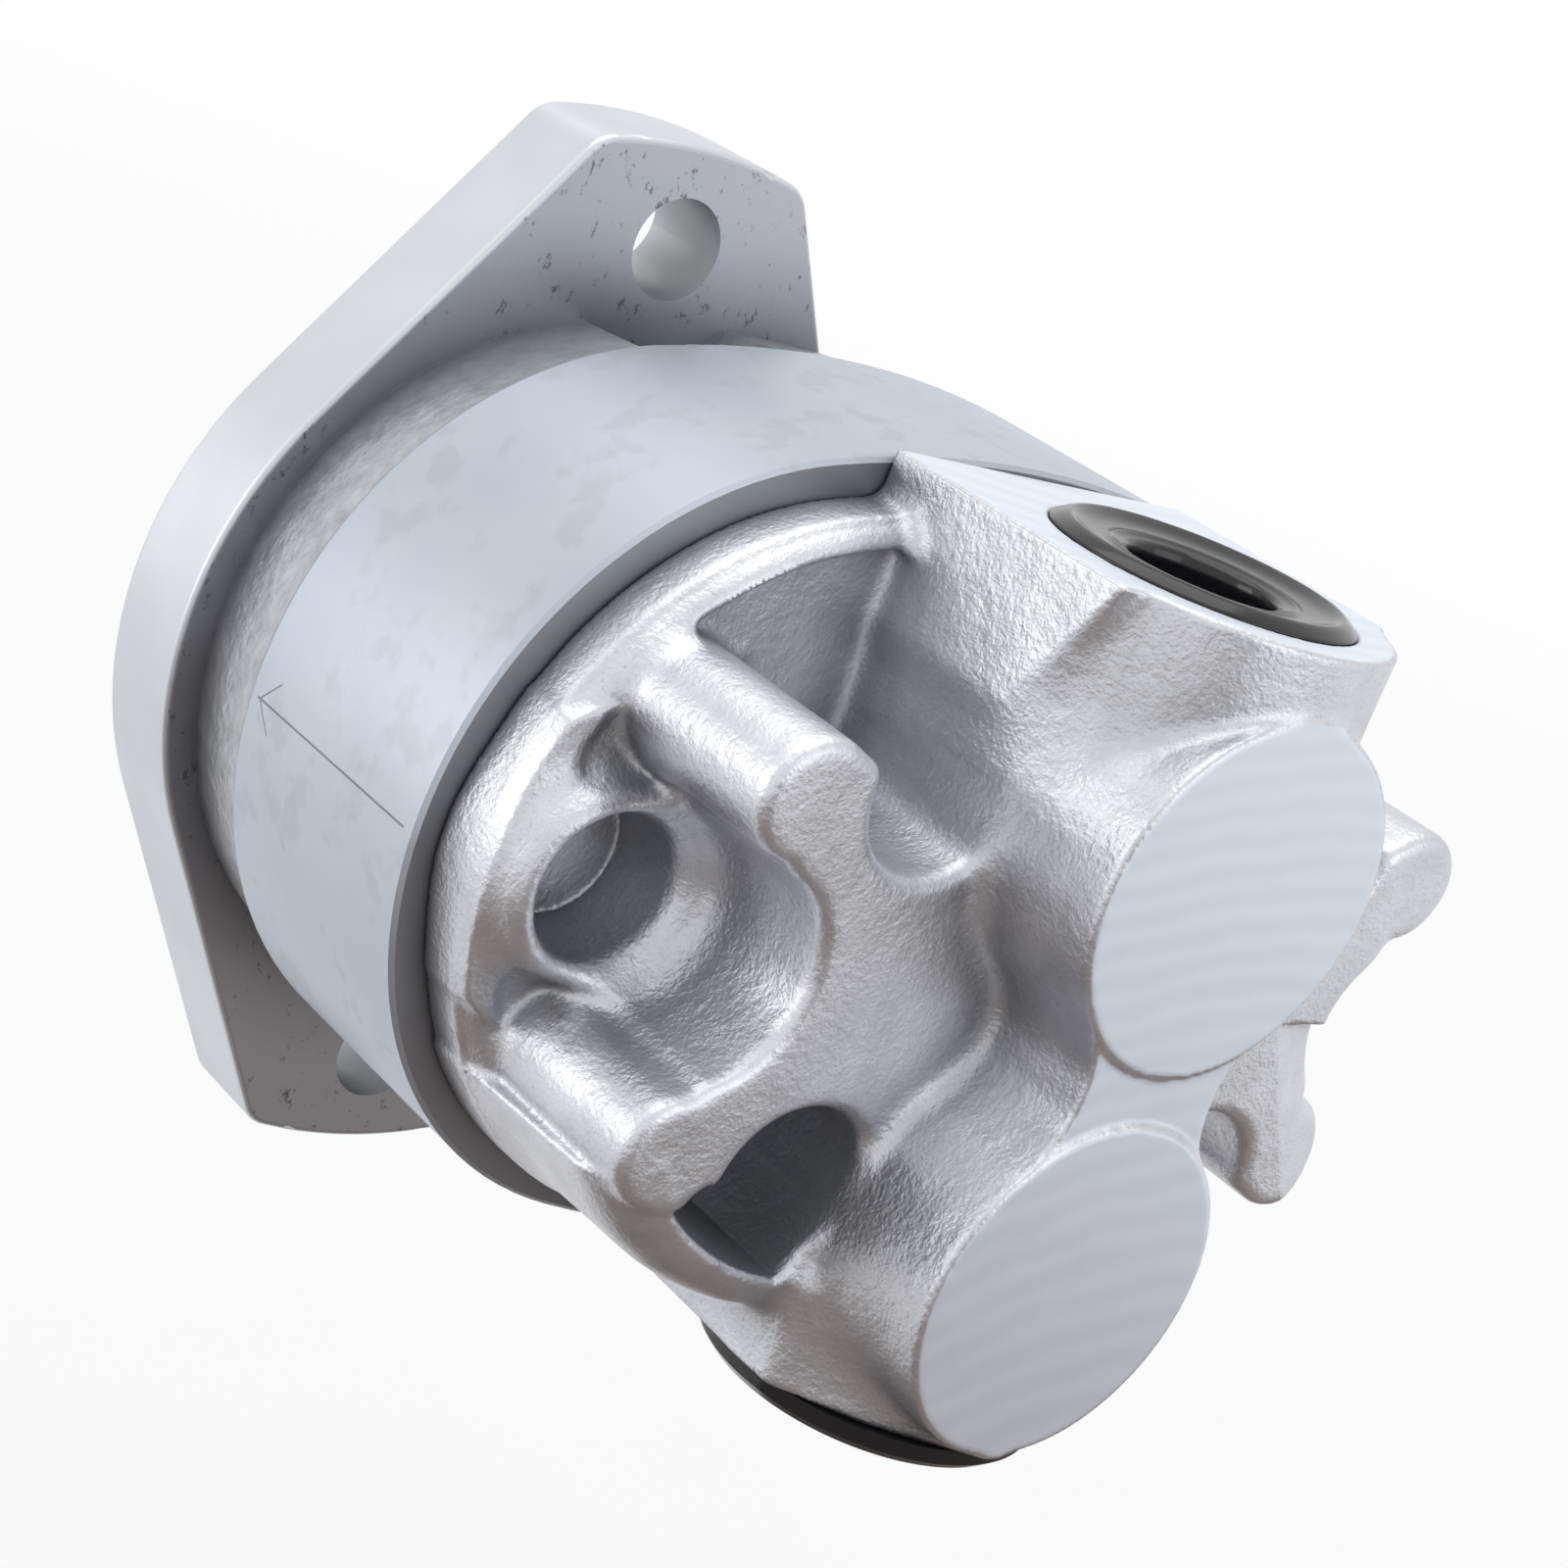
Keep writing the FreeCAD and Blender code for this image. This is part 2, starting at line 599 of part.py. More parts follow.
# Body casting: flange, pilot, neck and turned body
housing = new_body("housing")
pieces.append(housing)
add_between(housing, "flange", 0, flange_rear, draw_flange)
ear_reach = named("ear_half_width").value
round_edges(
    housing, "ear_corners", named("ear_corner_round"),
    lambda edge: (abs(abs(edge.CenterOfMass.x) - ear_reach) < 0.01
                  and edge.BoundBox.YLength > 1 and edge.BoundBox.ZLength < 0.01))
round_edges(housing, "flange_edges", named("flange_edge_round"),
            lambda edge: edge.BoundBox.YLength < 0.01)
add_between(housing, "pilot", -named("pilot_height"), 0,
            lambda sketch: draw_circle(sketch, 0, 0, named("pilot_radius")))
round_edges(housing, "pilot_edge", named("pilot_chamfer"),
            lambda edge: lies_at_depth(edge, -named("pilot_height")), "PartDesign::Chamfer")
add_between(housing, "neck", shoulder, body_front,
            lambda sketch: draw_oval(sketch, named("neck_step")), draft=named("neck_draft"))
add_between(housing, "turned_body", body_front, joint,
            lambda sketch: draw_oval(sketch, as_size(0)))


def lies_on_outline(edge, depth):
    """True for the edges of the turned body's outline at a depth."""
    if not lies_at_depth(edge, depth) or not hasattr(edge.Curve, "Radius"):
        return False
    spot = edge.CenterOfMass
    side = abs(edge.Curve.Radius - body_radius.value) < 0.01
    crown = edge.Curve.Radius > 2 * body_radius.value
    return side or (crown and abs(spot.z) > body_crown.value - 1)


round_edges(housing, "body_front_edge", named("body_front_round"),
            lambda edge: lies_on_outline(edge, body_front))
round_edges(housing, "body_rear_edge", named("body_rear_chamfer"),
            lambda edge: lies_on_outline(edge, joint), "PartDesign::Chamfer")
for side, height in (("top", named("bolt_spacing") / 2), ("bottom", -named("bolt_spacing") / 2)):
    cut_between(housing, side + "_scallop", flange_rear, body_front,
                lambda sketch: draw_circle(sketch, 0, height, named("scallop_radius")))
    cut_between(housing, side + "_bolt_hole", 0, flange_rear,
                lambda sketch: draw_circle(sketch, 0, height, named("bolt_hole_radius")))

# Gear chamber, shaft bore and seal pocket
for side, across in (("drive", as_size(0)), ("driven", centres)):
    cut_between(housing, side + "_chamber", named("chamber_depth"), joint,
                lambda sketch: draw_circle(sketch, across, 0, chamber_radius))
for side, rise in (("upper", named("gallery_rise")), ("lower", -named("gallery_rise"))):
    cut_between(housing, side + "_gallery", gear_start, joint,
                lambda sketch: draw_circle(sketch, middle, rise, named("gallery_radius")))
cut_between(housing, "shaft_bore", -named("pilot_height"), named("chamber_depth"),
            lambda sketch: draw_circle(sketch, 0, 0, journal + named("bore_clearance")))
seal_pocket_radius = named("seal_radius") + named("seal_fit")
cut_between(housing, "seal_pocket", -named("pilot_height"), named("seal_pocket_depth"),
            lambda sketch: draw_circle(sketch, 0, 0, seal_pocket_radius))
seal_front = named("seal_pocket_depth") - named("seal_height")
snap_start = seal_front - named("snap_clearance") / 2 - named("snap_thick")
snap_outer = seal_pocket_radius + named("snap_bite")
cut_between(housing, "snap_groove", snap_start - named("snap_clearance") / 2, seal_front,
            lambda sketch: draw_circle(sketch, 0, 0, snap_outer + named("snap_clearance")))


LEFT = (left_screws, left_rise)
RIGHT = (right_screws, right_rise)


def draw_screw_circles(sketch, radius, columns=(LEFT, RIGHT)):
    for across, rise in columns:
        draw_circle(sketch, across, rise, radius)
        draw_circle(sketch, across, -rise, radius)


def draw_sleeve_circles(sketch, radius):
    draw_circle(sketch, left_screws, left_rise, radius)
    draw_circle(sketch, right_screws, -right_rise, radius)


sleeve_half = named("sleeve_length") / 2
sleeve_end = sleeve_half + named("sleeve_clearance")
cut_between(housing, "screw_holes", -named("pilot_height"), joint,
            lambda sketch: draw_screw_circles(sketch, screw_hole))
cut_between(housing, "counterbores", -named("pilot_height"), named("counterbore_depth"),
            lambda sketch: draw_screw_circles(
                sketch, named("screw_head_radius") + named("counterbore_clearance"),
                (LEFT,)))
cut_between(housing, "sleeve_seats", joint - sleeve_end, joint,
            lambda sketch: draw_sleeve_circles(sketch, sleeve_hole))


def draw_ring_groove(sketch):
    draw_stadium(sketch, ring_path_radius + named("ring_groove_width") / 2)
    draw_stadium(sketch, ring_path_radius - named("ring_groove_width") / 2)


cut_between(housing, "ring_groove", joint - named("ring_groove_depth"), joint, draw_ring_groove)

# Rear cover casting: floor, rim, land and screw columns
cover = new_body("rear_cover")
pieces.append(cover)
inset = named("cover_step")
add_between(cover, "floor_plate", joint, pocket_floor, lambda sketch: draw_oval(sketch, inset))


def draw_rim(sketch):
    draw_oval(sketch, inset)
    draw_oval(sketch, inset + named("rim_wall"))


rim_top = pocket_floor + named("rim_height")
add_between(cover, "rim", pocket_floor, rim_top, draw_rim)
outer_reach = body_radius.value - inset.value
round_edges(
    cover, "rim_edge", named("rim_round"),
    lambda edge: (lies_at_depth(edge, rim_top)
                  and math.hypot(max(-edge.Vertexes[0].Point.x, 0), edge.Vertexes[0].Point.z)
                  > outer_reach - 1))


def draw_outer_wall(sketch):
    """Part of a ring round the drive axis, from a lower screw to the lowest point."""
    outer = body_radius - inset
    inner = outer - named("outer_wall")
    start = math.pi + math.radians(named("left_screw_angle").value)
    stop = 1.5 * math.pi
    rings = [sketch.addGeometry(arc(0, 0, radius.value, start, stop)) for radius in (outer, inner)]
    ends = [sketch.addGeometry(Part.LineSegment(
        FreeCAD.Vector(outer.value * math.cos(angle), outer.value * math.sin(angle), 0),
        FreeCAD.Vector(inner.value * math.cos(angle), inner.value * math.sin(angle), 0)))
        for angle in (start, stop)]
    add = sketch.addConstraint
    for ring, radius in zip(rings, (outer, inner)):
        add(Sketcher.Constraint("Coincident", ring, 3, -1, 1))
        dimension(sketch, "Radius", ring, radius)
    for number in (0, 1):
        add(Sketcher.Constraint("Coincident", ends[number], 1, rings[0], number + 1))
        add(Sketcher.Constraint("Coincident", ends[number], 2, rings[1], number + 1))
        add(Sketcher.Constraint("PointOnObject", -1, 1, ends[number]))
    add(Sketcher.Constraint("Vertical", ends[1]))
    dimension(sketch, "DistanceX", rings[0], 1, -1, 1,
              outer * named("left_screw_angle").cosine())


add_between(cover, "outer_wall", pocket_floor, land, draw_outer_wall)
round_edges(
    cover, "outer_wall_edge", named("outer_wall_round"),
    lambda edge: (lies_at_depth(edge, land)
                  and hasattr(edge.Curve, "Radius")
                  and abs(edge.Curve.Radius - outer_reach) < 0.01))
column_radius = named("screw_radius") + named("thread_clearance") + named("column_wall")
for side, (across, rise), end in (("left", LEFT, land), ("right", RIGHT, right_land)):
    edge = rise + named("land_overhang")
    left, right = (across, middle) if side == "left" else (middle, across)
    add_between(cover, side + "_land", pocket_floor, land,
                lambda sketch: draw_rectangle(sketch, left, right, -edge, edge))
    if side == "right":
        add_between(cover, "right_web", land, right_land,
                    lambda sketch: draw_rectangle(
                        sketch, middle + named("boss_radius"), right, -edge, edge))
    add_between(cover, side + "_columns", pocket_floor, end,
                lambda sketch: draw_screw_circles(sketch, column_radius, ((across, rise),)))

# Port bosses stand square to the axis, and the rear bosses lie along it
top_boss = named("top_port_radius") + named("top_port_wall")
bottom_boss = named("bottom_port_radius") + named("bottom_port_wall")
add_between(cover, "top_port_boss", 0, port_face,
            lambda sketch: draw_circle(sketch, middle, -port_depth, top_boss), "XY_Plane")
add_between(cover, "bottom_port_boss", -port_face, 0,
            lambda sketch: draw_circle(sketch, middle, -port_depth, bottom_boss), "XY_Plane")
boss_face = land + named("boss_height")
for side, height in (("upper", named("top_boss_rise")), ("lower", -named("bottom_boss_drop"))):
    flare_start = land - 1
    flare_end = boss_face - named("boss_collar")
    flare = cover.newObject("PartDesign::AdditiveCone", side + "_boss_flare")
    flare.AttachmentSupport = [(origin_plane(cover, "XZ_Plane"), "")]
    flare.MapMode = "FlatFace"
    flare.setExpression("AttachmentOffset.Base.x", middle.text)
    flare.setExpression("AttachmentOffset.Base.y", height.text)
    flare.setExpression("AttachmentOffset.Base.z", flare_start.text)
    flare.setExpression("Radius1", (named("boss_radius") + named("boss_flare")).text)
    flare.setExpression("Radius2", named("boss_radius").text)
    flare.setExpression("Height", (flare_end - flare_start).text)
    doc.recompute()
    add_between(cover, side + "_boss", pocket_floor, boss_face,
                lambda sketch: draw_circle(sketch, middle, height, named("boss_radius")))
cut_between(cover, "bottom_face_trim", -port_face - named("boss_flare") * 4, -port_face,
            lambda sketch: draw_rectangle(
                sketch, middle - 2 * named("boss_radius"), middle + 2 * named("boss_radius"),
                -boss_face - 1, -joint), "XY_Plane")

# Hollows of the casting
pocket_radius = named("pocket_radius")
for side, notch, reach, pocket in (
        ("left", left_screws - named("left_notch_offset"), left_rise,
         left_screws + column_radius + named("pocket_wall") + pocket_radius),
        ("right", right_screws + named("right_notch_offset"), right_rise,
         right_screws - column_radius - named("pocket_wall") - pocket_radius)):
    notch_radius = reach - column_radius - named("notch_wall")
    cut_between(cover, side + "_notch", rim_top, right_land + 1,
                lambda sketch: draw_circle(sketch, notch, 0, notch_radius))
    for level, rise in (("upper", named("pocket_rise")), ("lower", -named("pocket_rise"))):
        cut_between(cover, "%s_%s_pocket" % (side, level), pocket_floor, right_land + 1,
                    lambda sketch: draw_circle(sketch, pocket, rise, pocket_radius))
    if side == "left":
        cup_centre, mark_centre = notch, pocket
        cup_radius = notch_radius - named("cup_clearance")
add_between(cover, "cup_ring", pocket_floor, pocket_floor + named("cup_height"),
            lambda sketch: draw_circle(sketch, cup_centre, 0, cup_radius))
cut_between(cover, "cup", pocket_floor - named("cup_sink"), land,
            lambda sketch: draw_circle(sketch, cup_centre, 0, cup_radius - named("cup_wall")))

# Square port blocks with machined faces
block_end = port_depth + named("block_back")
for side, half, outer, inner in (
        ("top", top_boss + named("top_block_step"),
         port_face, port_face - named("block_height")),
        ("bottom", bottom_boss + named("bottom_block_step"),
         -port_face, named("block_height") - port_face)):
    add_between(cover, side + "_block", joint, block_end,
                lambda sketch: draw_block(sketch, half, outer, inner))

# Ports and oil passages
for side, radius, sign in (
        ("top", named("top_port_radius"), 1), ("bottom", named("bottom_port_radius"), -1)):
    mouth = sign * port_face
    floor = sign * (port_face - named("port_bore_depth"))
    inner = sign * named("gallery_rise")
    over = sign * (port_face + named("boss_flare"))
    low, high = (floor, over) if sign > 0 else (over, floor)
    cut_between(cover, side + "_port", low, high,
                lambda sketch: draw_circle(sketch, middle, -port_depth, radius), "XY_Plane")
    low, high = (inner, mouth) if sign > 0 else (mouth, inner)
    cut_between(cover, side + "_passage", low, high,
                lambda sketch: draw_circle(
                    sketch, middle, -port_depth, named("passage_radius")), "XY_Plane")
    cut_between(cover, side + "_gallery", joint, port_depth,
                lambda sketch: draw_circle(
                    sketch, middle, inner, named("gallery_radius")))
port_radii = (named("top_port_radius").value, named("bottom_port_radius").value)
round_edges(
    cover, "port_mouths", named("port_chamfer"),
    lambda edge: (abs(abs(edge.BoundBox.ZMax) - port_face.value) < 0.01
                  and edge.BoundBox.ZLength < 0.01
                  and hasattr(edge.Curve, "Radius")
                  and any(abs(edge.Curve.Radius - radius) < 0.01 for radius in port_radii)),
    "PartDesign::Chamfer")

# Threads for the screws, seats for the sleeves and the round mark in a pocket floor
cut_between(cover, "threads", joint, thread_end,
            lambda sketch: draw_screw_circles(
                sketch, named("screw_radius") + named("thread_clearance")))
cut_between(cover, "cover_sleeve_seats", joint, joint + sleeve_end,
            lambda sketch: draw_sleeve_circles(sketch, sleeve_hole))
cut_between(cover, "ejector_mark", pocket_floor - named("ejector_sink"), pocket_floor,
            lambda sketch: draw_circle(
                sketch, mark_centre, named("pocket_rise"), named("ejector_radius")))


# Gears: involute teeth, cut to the sheet's module, count and pressure angle
def involute_angle(radius, base):
    turn = math.acos(min(1.0, base / radius))
    return math.tan(turn) - turn


def gear_shape(turn):
    module = named("gear_module").value
    teeth = int(round(named("gear_teeth").value))
    pitch = gear_radius.value
    tip = tip_radius.value
    root = pitch - 1.2 * module
    base = pitch * math.cos(math.radians(named("pressure_angle").value))
    half_tooth = math.pi / (2 * teeth) - named("tooth_thinning").value / pitch
    half_base = half_tooth + involute_angle(pitch, base)
    radii = [base + (tip - base) * step / 4 for step in range(5)]
    flank = [(root, half_base)] + [(r, half_base - involute_angle(r, base)) for r in radii]
    edges = []

    def spot(radius, angle):
        return FreeCAD.Vector(radius * math.cos(angle), 0, radius * math.sin(angle))

    for number in range(teeth):
        centre = turn + 2 * math.pi * number / teeth
        following = centre + 2 * math.pi / teeth
        rising = [spot(r, centre - a) for r, a in flank]
        falling = [spot(r, centre + a) for r, a in reversed(flank)]
        for first, second in zip(rising, rising[1:]):
            edges.append(Part.makeLine(first, second))
        edges.append(Part.Arc(rising[-1], spot(tip, centre), falling[0]).toShape())
        for first, second in zip(falling, falling[1:]):
            edges.append(Part.makeLine(first, second))
        gap_middle = spot(root, (centre + following) / 2)
        next_start = spot(root, following - flank[0][1])
        edges.append(Part.Arc(falling[-1], gap_middle, next_start).toShape())
    face = Part.Face(Part.Wire(edges))
    solid = face.extrude(FreeCAD.Vector(0, -named("gear_width").value, 0))
    return solid


def toothed_rim(label, turn, across):
    thing = doc.addObject("Part::Feature", label)
    thing.Shape = gear_shape(turn)
    thing.Placement = FreeCAD.Placement(
        FreeCAD.Vector(as_size(across).value, -gear_start.value, 0), FreeCAD.Rotation())
    return thing


shaft_end = -named("shaft_reach")
shaft_back = joint - 2 * named("side_clearance")
chamfer = named("shaft_chamfer")
drive_shaft = new_body("drive_shaft")
revolve(drive_shaft, "turned_shaft", [
    (shaft_end, 0),
    (shaft_end, journal - chamfer),
    (shaft_end + chamfer, journal),
    (shaft_back - chamfer, journal),
    (shaft_back, journal - chamfer),
    (shaft_back, 0),
])
drive_teeth = toothed_rim("drive_teeth", 0.0, 0)
drive_blank = joined("drive_blank", [drive_shaft, drive_teeth])
key_start = shaft_end + named("key_setback")
key_half = named("key_width") / 2
key_floor = journal - key_half
keyway = slab("keyway", -key_half - named("key_clearance"), key_half + named("key_clearance"),
              key_start - named("key_clearance"),
              key_start + named("key_length") + named("key_clearance"),
              key_floor - named("key_clearance"), journal + 1)
pieces.append(cut("drive_gear_shaft", drive_blank, keyway))

driven_front = front_block_start + named("driven_setback")
driven_shaft = new_body("driven_shaft")
revolve(driven_shaft, "turned_journals", [
    (driven_front, 0),
    (driven_front, journal - chamfer),
    (driven_front + chamfer, journal),
    (shaft_back - chamfer, journal),
    (shaft_back, journal - chamfer),
    (shaft_back, 0),
])
driven_shaft.setExpression("Placement.Base.x", centres.text)
facing_gap = math.pi + math.pi / named("gear_teeth").value
driven_teeth = toothed_rim("driven_teeth", facing_gap, centres)
pieces.append(joined("driven_gear_shaft", [driven_shaft, driven_teeth]))

# Key in the shaft end
pieces.append(slab("shaft_key", -key_half, key_half, key_start,
                   key_start + named("key_length"), key_floor, journal + key_half))


# Bearing blocks: two joined rounds with a bush bore each and a seal groove on the outer face
def three_strip(label, inner, outer, start, end, gap):
    """The strip shaped like a 3 that parts the two pressure sides."""
    half_bar = named("strip_width") / 2 + gap
    reach = block_radius + 1
    rings = []
    for side, across in (("drive", as_size(0)), ("driven", centres)):
        ring = tube("%s_%s_ring" % (label, side), outer, inner, start, end, across)
        below = slab("%s_%s_below" % (label, side), across - reach, across + reach,
                     start, end, -reach, half_bar)
        rings.append(joined("%s_%s_arc" % (label, side), [ring, below], "Part::MultiCommon"))
    bars = []
    for side, left, right in (
            ("outer", -block_radius, -inner),
            ("bridge", inner, centres - inner),
            ("far", centres + inner, centres + block_radius)):
        bars.append(slab("%s_%s_bar" % (label, side), left, right, start, end,
                         -half_bar, half_bar))
    return joined(label, rings + bars)


def backup_strip(label, inner, outer, start, end, top):
    """Two half rings that stand inside the pressure strip."""
    reach = block_radius + 1
    rings = []
    for side, across in (("drive", as_size(0)), ("driven", centres)):
        ring = tube("%s_%s_ring" % (label, side), outer, inner, start, end, across)
        below = slab("%s_%s_below" % (label, side), across - reach, across + reach,
                     start, end, -reach, top)
        rings.append(joined("%s_%s_half" % (label, side), [ring, below], "Part::MultiCommon"))
    return joined(label, rings, "Part::Compound")


slack = named("strip_clearance")
groove_inner = bush_radius + named("bush_fit") + named("groove_wall")
backup_inner = groove_inner + slack
backup_outer = backup_inner + named("backup_width")
strip_inner = backup_outer + slack
strip_outer = strip_inner + named("strip_width")
bar_edge = named("strip_width") / 2
for side, start, outward in (("front", front_block_start, -1), ("rear", rear_block_start, 1)):
    end = start + block_length
    block = new_body(side + "_block_blank")
    add_between(block, side + "_drive_round", start, end,
                lambda sketch: draw_circle(sketch, 0, 0, block_radius))
    add_between(block, side + "_driven_round", start, end,
                lambda sketch: draw_circle(sketch, centres, 0, block_radius))

    def draw_bush_bores(sketch):
        draw_circle(sketch, 0, 0, bush_radius + named("bush_fit"))
        draw_circle(sketch, centres, 0, bush_radius + named("bush_fit"))

    cut_between(block, side + "_bush_bores", start, end, draw_bush_bores)
    if outward < 0:
        groove_start, groove_end = start, start + named("strip_thick")
    else:
        groove_start, groove_end = end - named("strip_thick"), end
    groove = three_strip(side + "_groove", groove_inner, strip_outer + slack,
                         groove_start, groove_end, slack)
    pieces.append(cut(side + "_bearing_block", block, groove))
    pieces.append(three_strip(side + "_block_seal", strip_inner, strip_outer,
                              groove_start, groove_end, as_size(0)))
    pieces.append(backup_strip(side + "_backup_strip", backup_inner, backup_outer,
                               groove_start, groove_end, -bar_edge - slack))
    for shaft, across in (("drive", as_size(0)), ("driven", centres)):
        pieces.append(tube("%s_%s_bush" % (shaft, side), bush_radius, bush_inner,
                           start, end, across))

# Seal ring between body and cover
ring = new_body("cover_seal_ring")
pieces.append(ring)
ring_depth = joint - named("ring_groove_depth") / 2
path = new_sketch(ring, "ring_path", "XZ_Plane", ring_depth)
draw_stadium(path, ring_path_radius)
section = new_sketch(ring, "ring_section", "YZ_Plane")
draw_circle(section, -ring_depth, ring_path_radius, named("ring_cord_radius"))
pipe = ring.newObject("PartDesign::AdditivePipe", "ring_cord")
pipe.Profile = section
pipe.Spine = path
doc.recompute()

# Shaft seal: rubber ring with its lip, steel case and garter spring
seal = named("seal_radius")
wall = named("case_wall")
lip = journal + named("running_clearance")
seal_back = named("seal_pocket_depth")
lip_root = lip + named("lip_thick")
lip_edge = seal_back - named("lip_edge_setback")
case_hole = lip_root + wall
garter_path = lip_root + named("garter_clearance") + named("garter_radius")
case = new_body("seal_case")
pieces.append(case)
revolve(case, "pressed_case", [
    (seal_front, case_hole),
    (seal_front, seal),
    (seal_back, seal),
    (seal_back, seal - wall),
    (seal_front + wall, seal - wall),
    (seal_front + wall, case_hole),
])
rubber = new_body("shaft_seal")
pieces.append(rubber)
relief = named("lip_relief")
revolve(rubber, "moulded_lip", [
    (seal_front, lip + relief),
    (seal_front, case_hole),
    (seal_front + wall, case_hole),
    (seal_front + wall, seal - wall),
    (seal_front + 2 * wall, seal - wall),
    (seal_front + 2 * wall, lip_root),
    (seal_back - wall, lip_root),
    (seal_back - wall, lip + relief),
    (lip_edge, lip),
    (seal_front + 2 * wall, lip + relief),
])
garter = doc.addObject("Part::Torus", "seal_spring")
garter.Label = "seal_spring"
garter.Placement = FreeCAD.Placement(
    FreeCAD.Vector(0, 0, 0), FreeCAD.Rotation(FreeCAD.Vector(1, 0, 0), 90))
garter.setExpression("Radius1", garter_path.text)
garter.setExpression("Radius2", named("garter_radius").text)
set_place(garter, 0, lip_edge, 0)
pieces.append(garter)

# Snap ring with its gap at the bottom
snap = tube("snap_round", snap_outer, snap_outer - named("snap_width"),
            snap_start, snap_start + named("snap_thick"))
snap_gap = slab("snap_gap", -named("snap_gap") / 2, named("snap_gap") / 2, snap_start - 1, snap_start + named("snap_thick") + 1,
                -snap_outer - 1, 0)
pieces.append(cut("seal_snap_ring", snap, snap_gap))


# Screws, washers and locating sleeves, each a group
def screw(label, seat, across, height):
    head_start = seat - named("screw_head_height")
    head = rod(label + "_head", named("screw_head_radius"), head_start, seat, across, height)
    shank = rod(label + "_shank", named("screw_radius"), seat, seat + screw_length,
                across, height)
    whole = joined(label + "_whole", [head, shank])
    socket = doc.addObject("Part::Prism", label + "_socket")
    socket.Polygon = 6
    socket.Placement = FreeCAD.Placement(
        FreeCAD.Vector(0, 0, 0), FreeCAD.Rotation(FreeCAD.Vector(1, 0, 0), 90))
    socket.setExpression("Circumradius", named("screw_socket_radius").text)
    socket.setExpression("Height", named("screw_socket_depth").text)
    set_place(socket, across, head_start, height)
    return cut(label, whole, socket)


screws = []
washers = []
for column, (across, rise), seat in (
        ("left", LEFT, named("counterbore_depth")),
        ("right", RIGHT, shoulder)):
    for level, height in (("upper", rise), ("lower", -rise)):
        name = "%s_%s" % (column, level)
        under_head = seat - named("washer_thick")
        screws.append(screw(name + "_screw", under_head, across, height))
        washers.append(tube(name + "_washer",
                            named("screw_head_radius") + named("washer_overhang"),
                            named("screw_radius") + named("screw_hole_clearance") / 2,
                            under_head, seat, across, height))
pieces.append(joined("cover_screws", screws, "Part::Compound"))
pieces.append(joined("screw_washers", washers, "Part::Compound"))
sleeves = []
for name, across, height in (
        ("upper_sleeve", left_screws, left_rise), ("lower_sleeve", right_screws, -right_rise)):
    sleeves.append(tube(name, sleeve_radius, sleeve_inner,
                        joint - sleeve_half, joint + sleeve_half, across, height))
pieces.append(joined("dowel_sleeves", sleeves, "Part::Compound"))

# Plastic plug of the top port: a lip, a sunk ring and a collar round a blind hole
plug = new_body("top_port_plug")
pieces.append(plug)
plug_top = port_face - named("plug_recess")
plug_radius = named("top_port_radius") - named("plug_clearance")
plug_bottom = plug_top - named("plug_length")
dish_outer = plug_radius - named("plug_lip")
collar_outer = named("plug_hole_radius") + named("plug_collar")
revolve(plug, "moulded_plug", [
    (0, plug_bottom),
    (plug_radius, plug_bottom),
    (plug_radius, plug_top),
    (dish_outer, plug_top),
    (dish_outer, plug_top - named("plug_dish")),
    (collar_outer, plug_top - named("plug_dish")),
    (collar_outer, plug_top - named("plug_dish") / 2),
    (named("plug_hole_radius"), plug_top - named("plug_dish") / 2),
    (named("plug_hole_radius"), plug_bottom + named("plug_floor")),
    (0, plug_bottom + named("plug_floor")),
], "XZ_Plane", "V_Axis")
set_place(plug, middle, port_depth, 0)

# Plastic cap of the bottom port: a flange on the port face and a hollow stem
cap = new_body("bottom_port_cap")
pieces.append(cap)
cap_face = -port_face
cap_stem = named("bottom_port_radius") - named("plug_clearance")
cap_hole = cap_stem - named("cap_wall")
cap_radius = named("bottom_port_radius") + named("cap_overhang")
revolve(cap, "moulded_cap", [
    (0, cap_face + named("plug_length")),
    (cap_stem, cap_face + named("plug_length")),
    (cap_stem, cap_face),
    (cap_radius, cap_face),
    (cap_radius, cap_face - named("cap_thick") + named("cap_round")),
    (cap_radius - named("cap_round"), cap_face - named("cap_thick")),
    (cap_hole, cap_face - named("cap_thick")),
    (cap_hole, cap_face + named("plug_length") - named("plug_floor")),
    (0, cap_face + named("plug_length") - named("plug_floor")),
], "XZ_Plane", "V_Axis")
set_place(cap, middle, port_depth, 0)

# Every object and every piece is checked before anything is written
doc.recompute()
faults = []
for thing in doc.Objects:
    if "Invalid" in thing.State or "Error" in thing.State:
        faults.append(thing.Name)
for piece in pieces:
    if piece.Shape.isNull() or not piece.Shape.isValid() or not piece.Shape.Solids:
        faults.append(piece.Label)
if faults:
    raise ValueError("faulty: " + ", ".join(faults))
os.makedirs("parts", exist_ok=True)
for piece in pieces:
    piece.Shape.exportStep(os.path.join("parts", piece.Label + ".step"))
    print("%-22s solids %d volume %.1f" % (
        piece.Label, len(piece.Shape.Solids), piece.Shape.Volume))
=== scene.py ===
import bpy
import json
import math
import numpy as np
from mathutils import Matrix, Vector


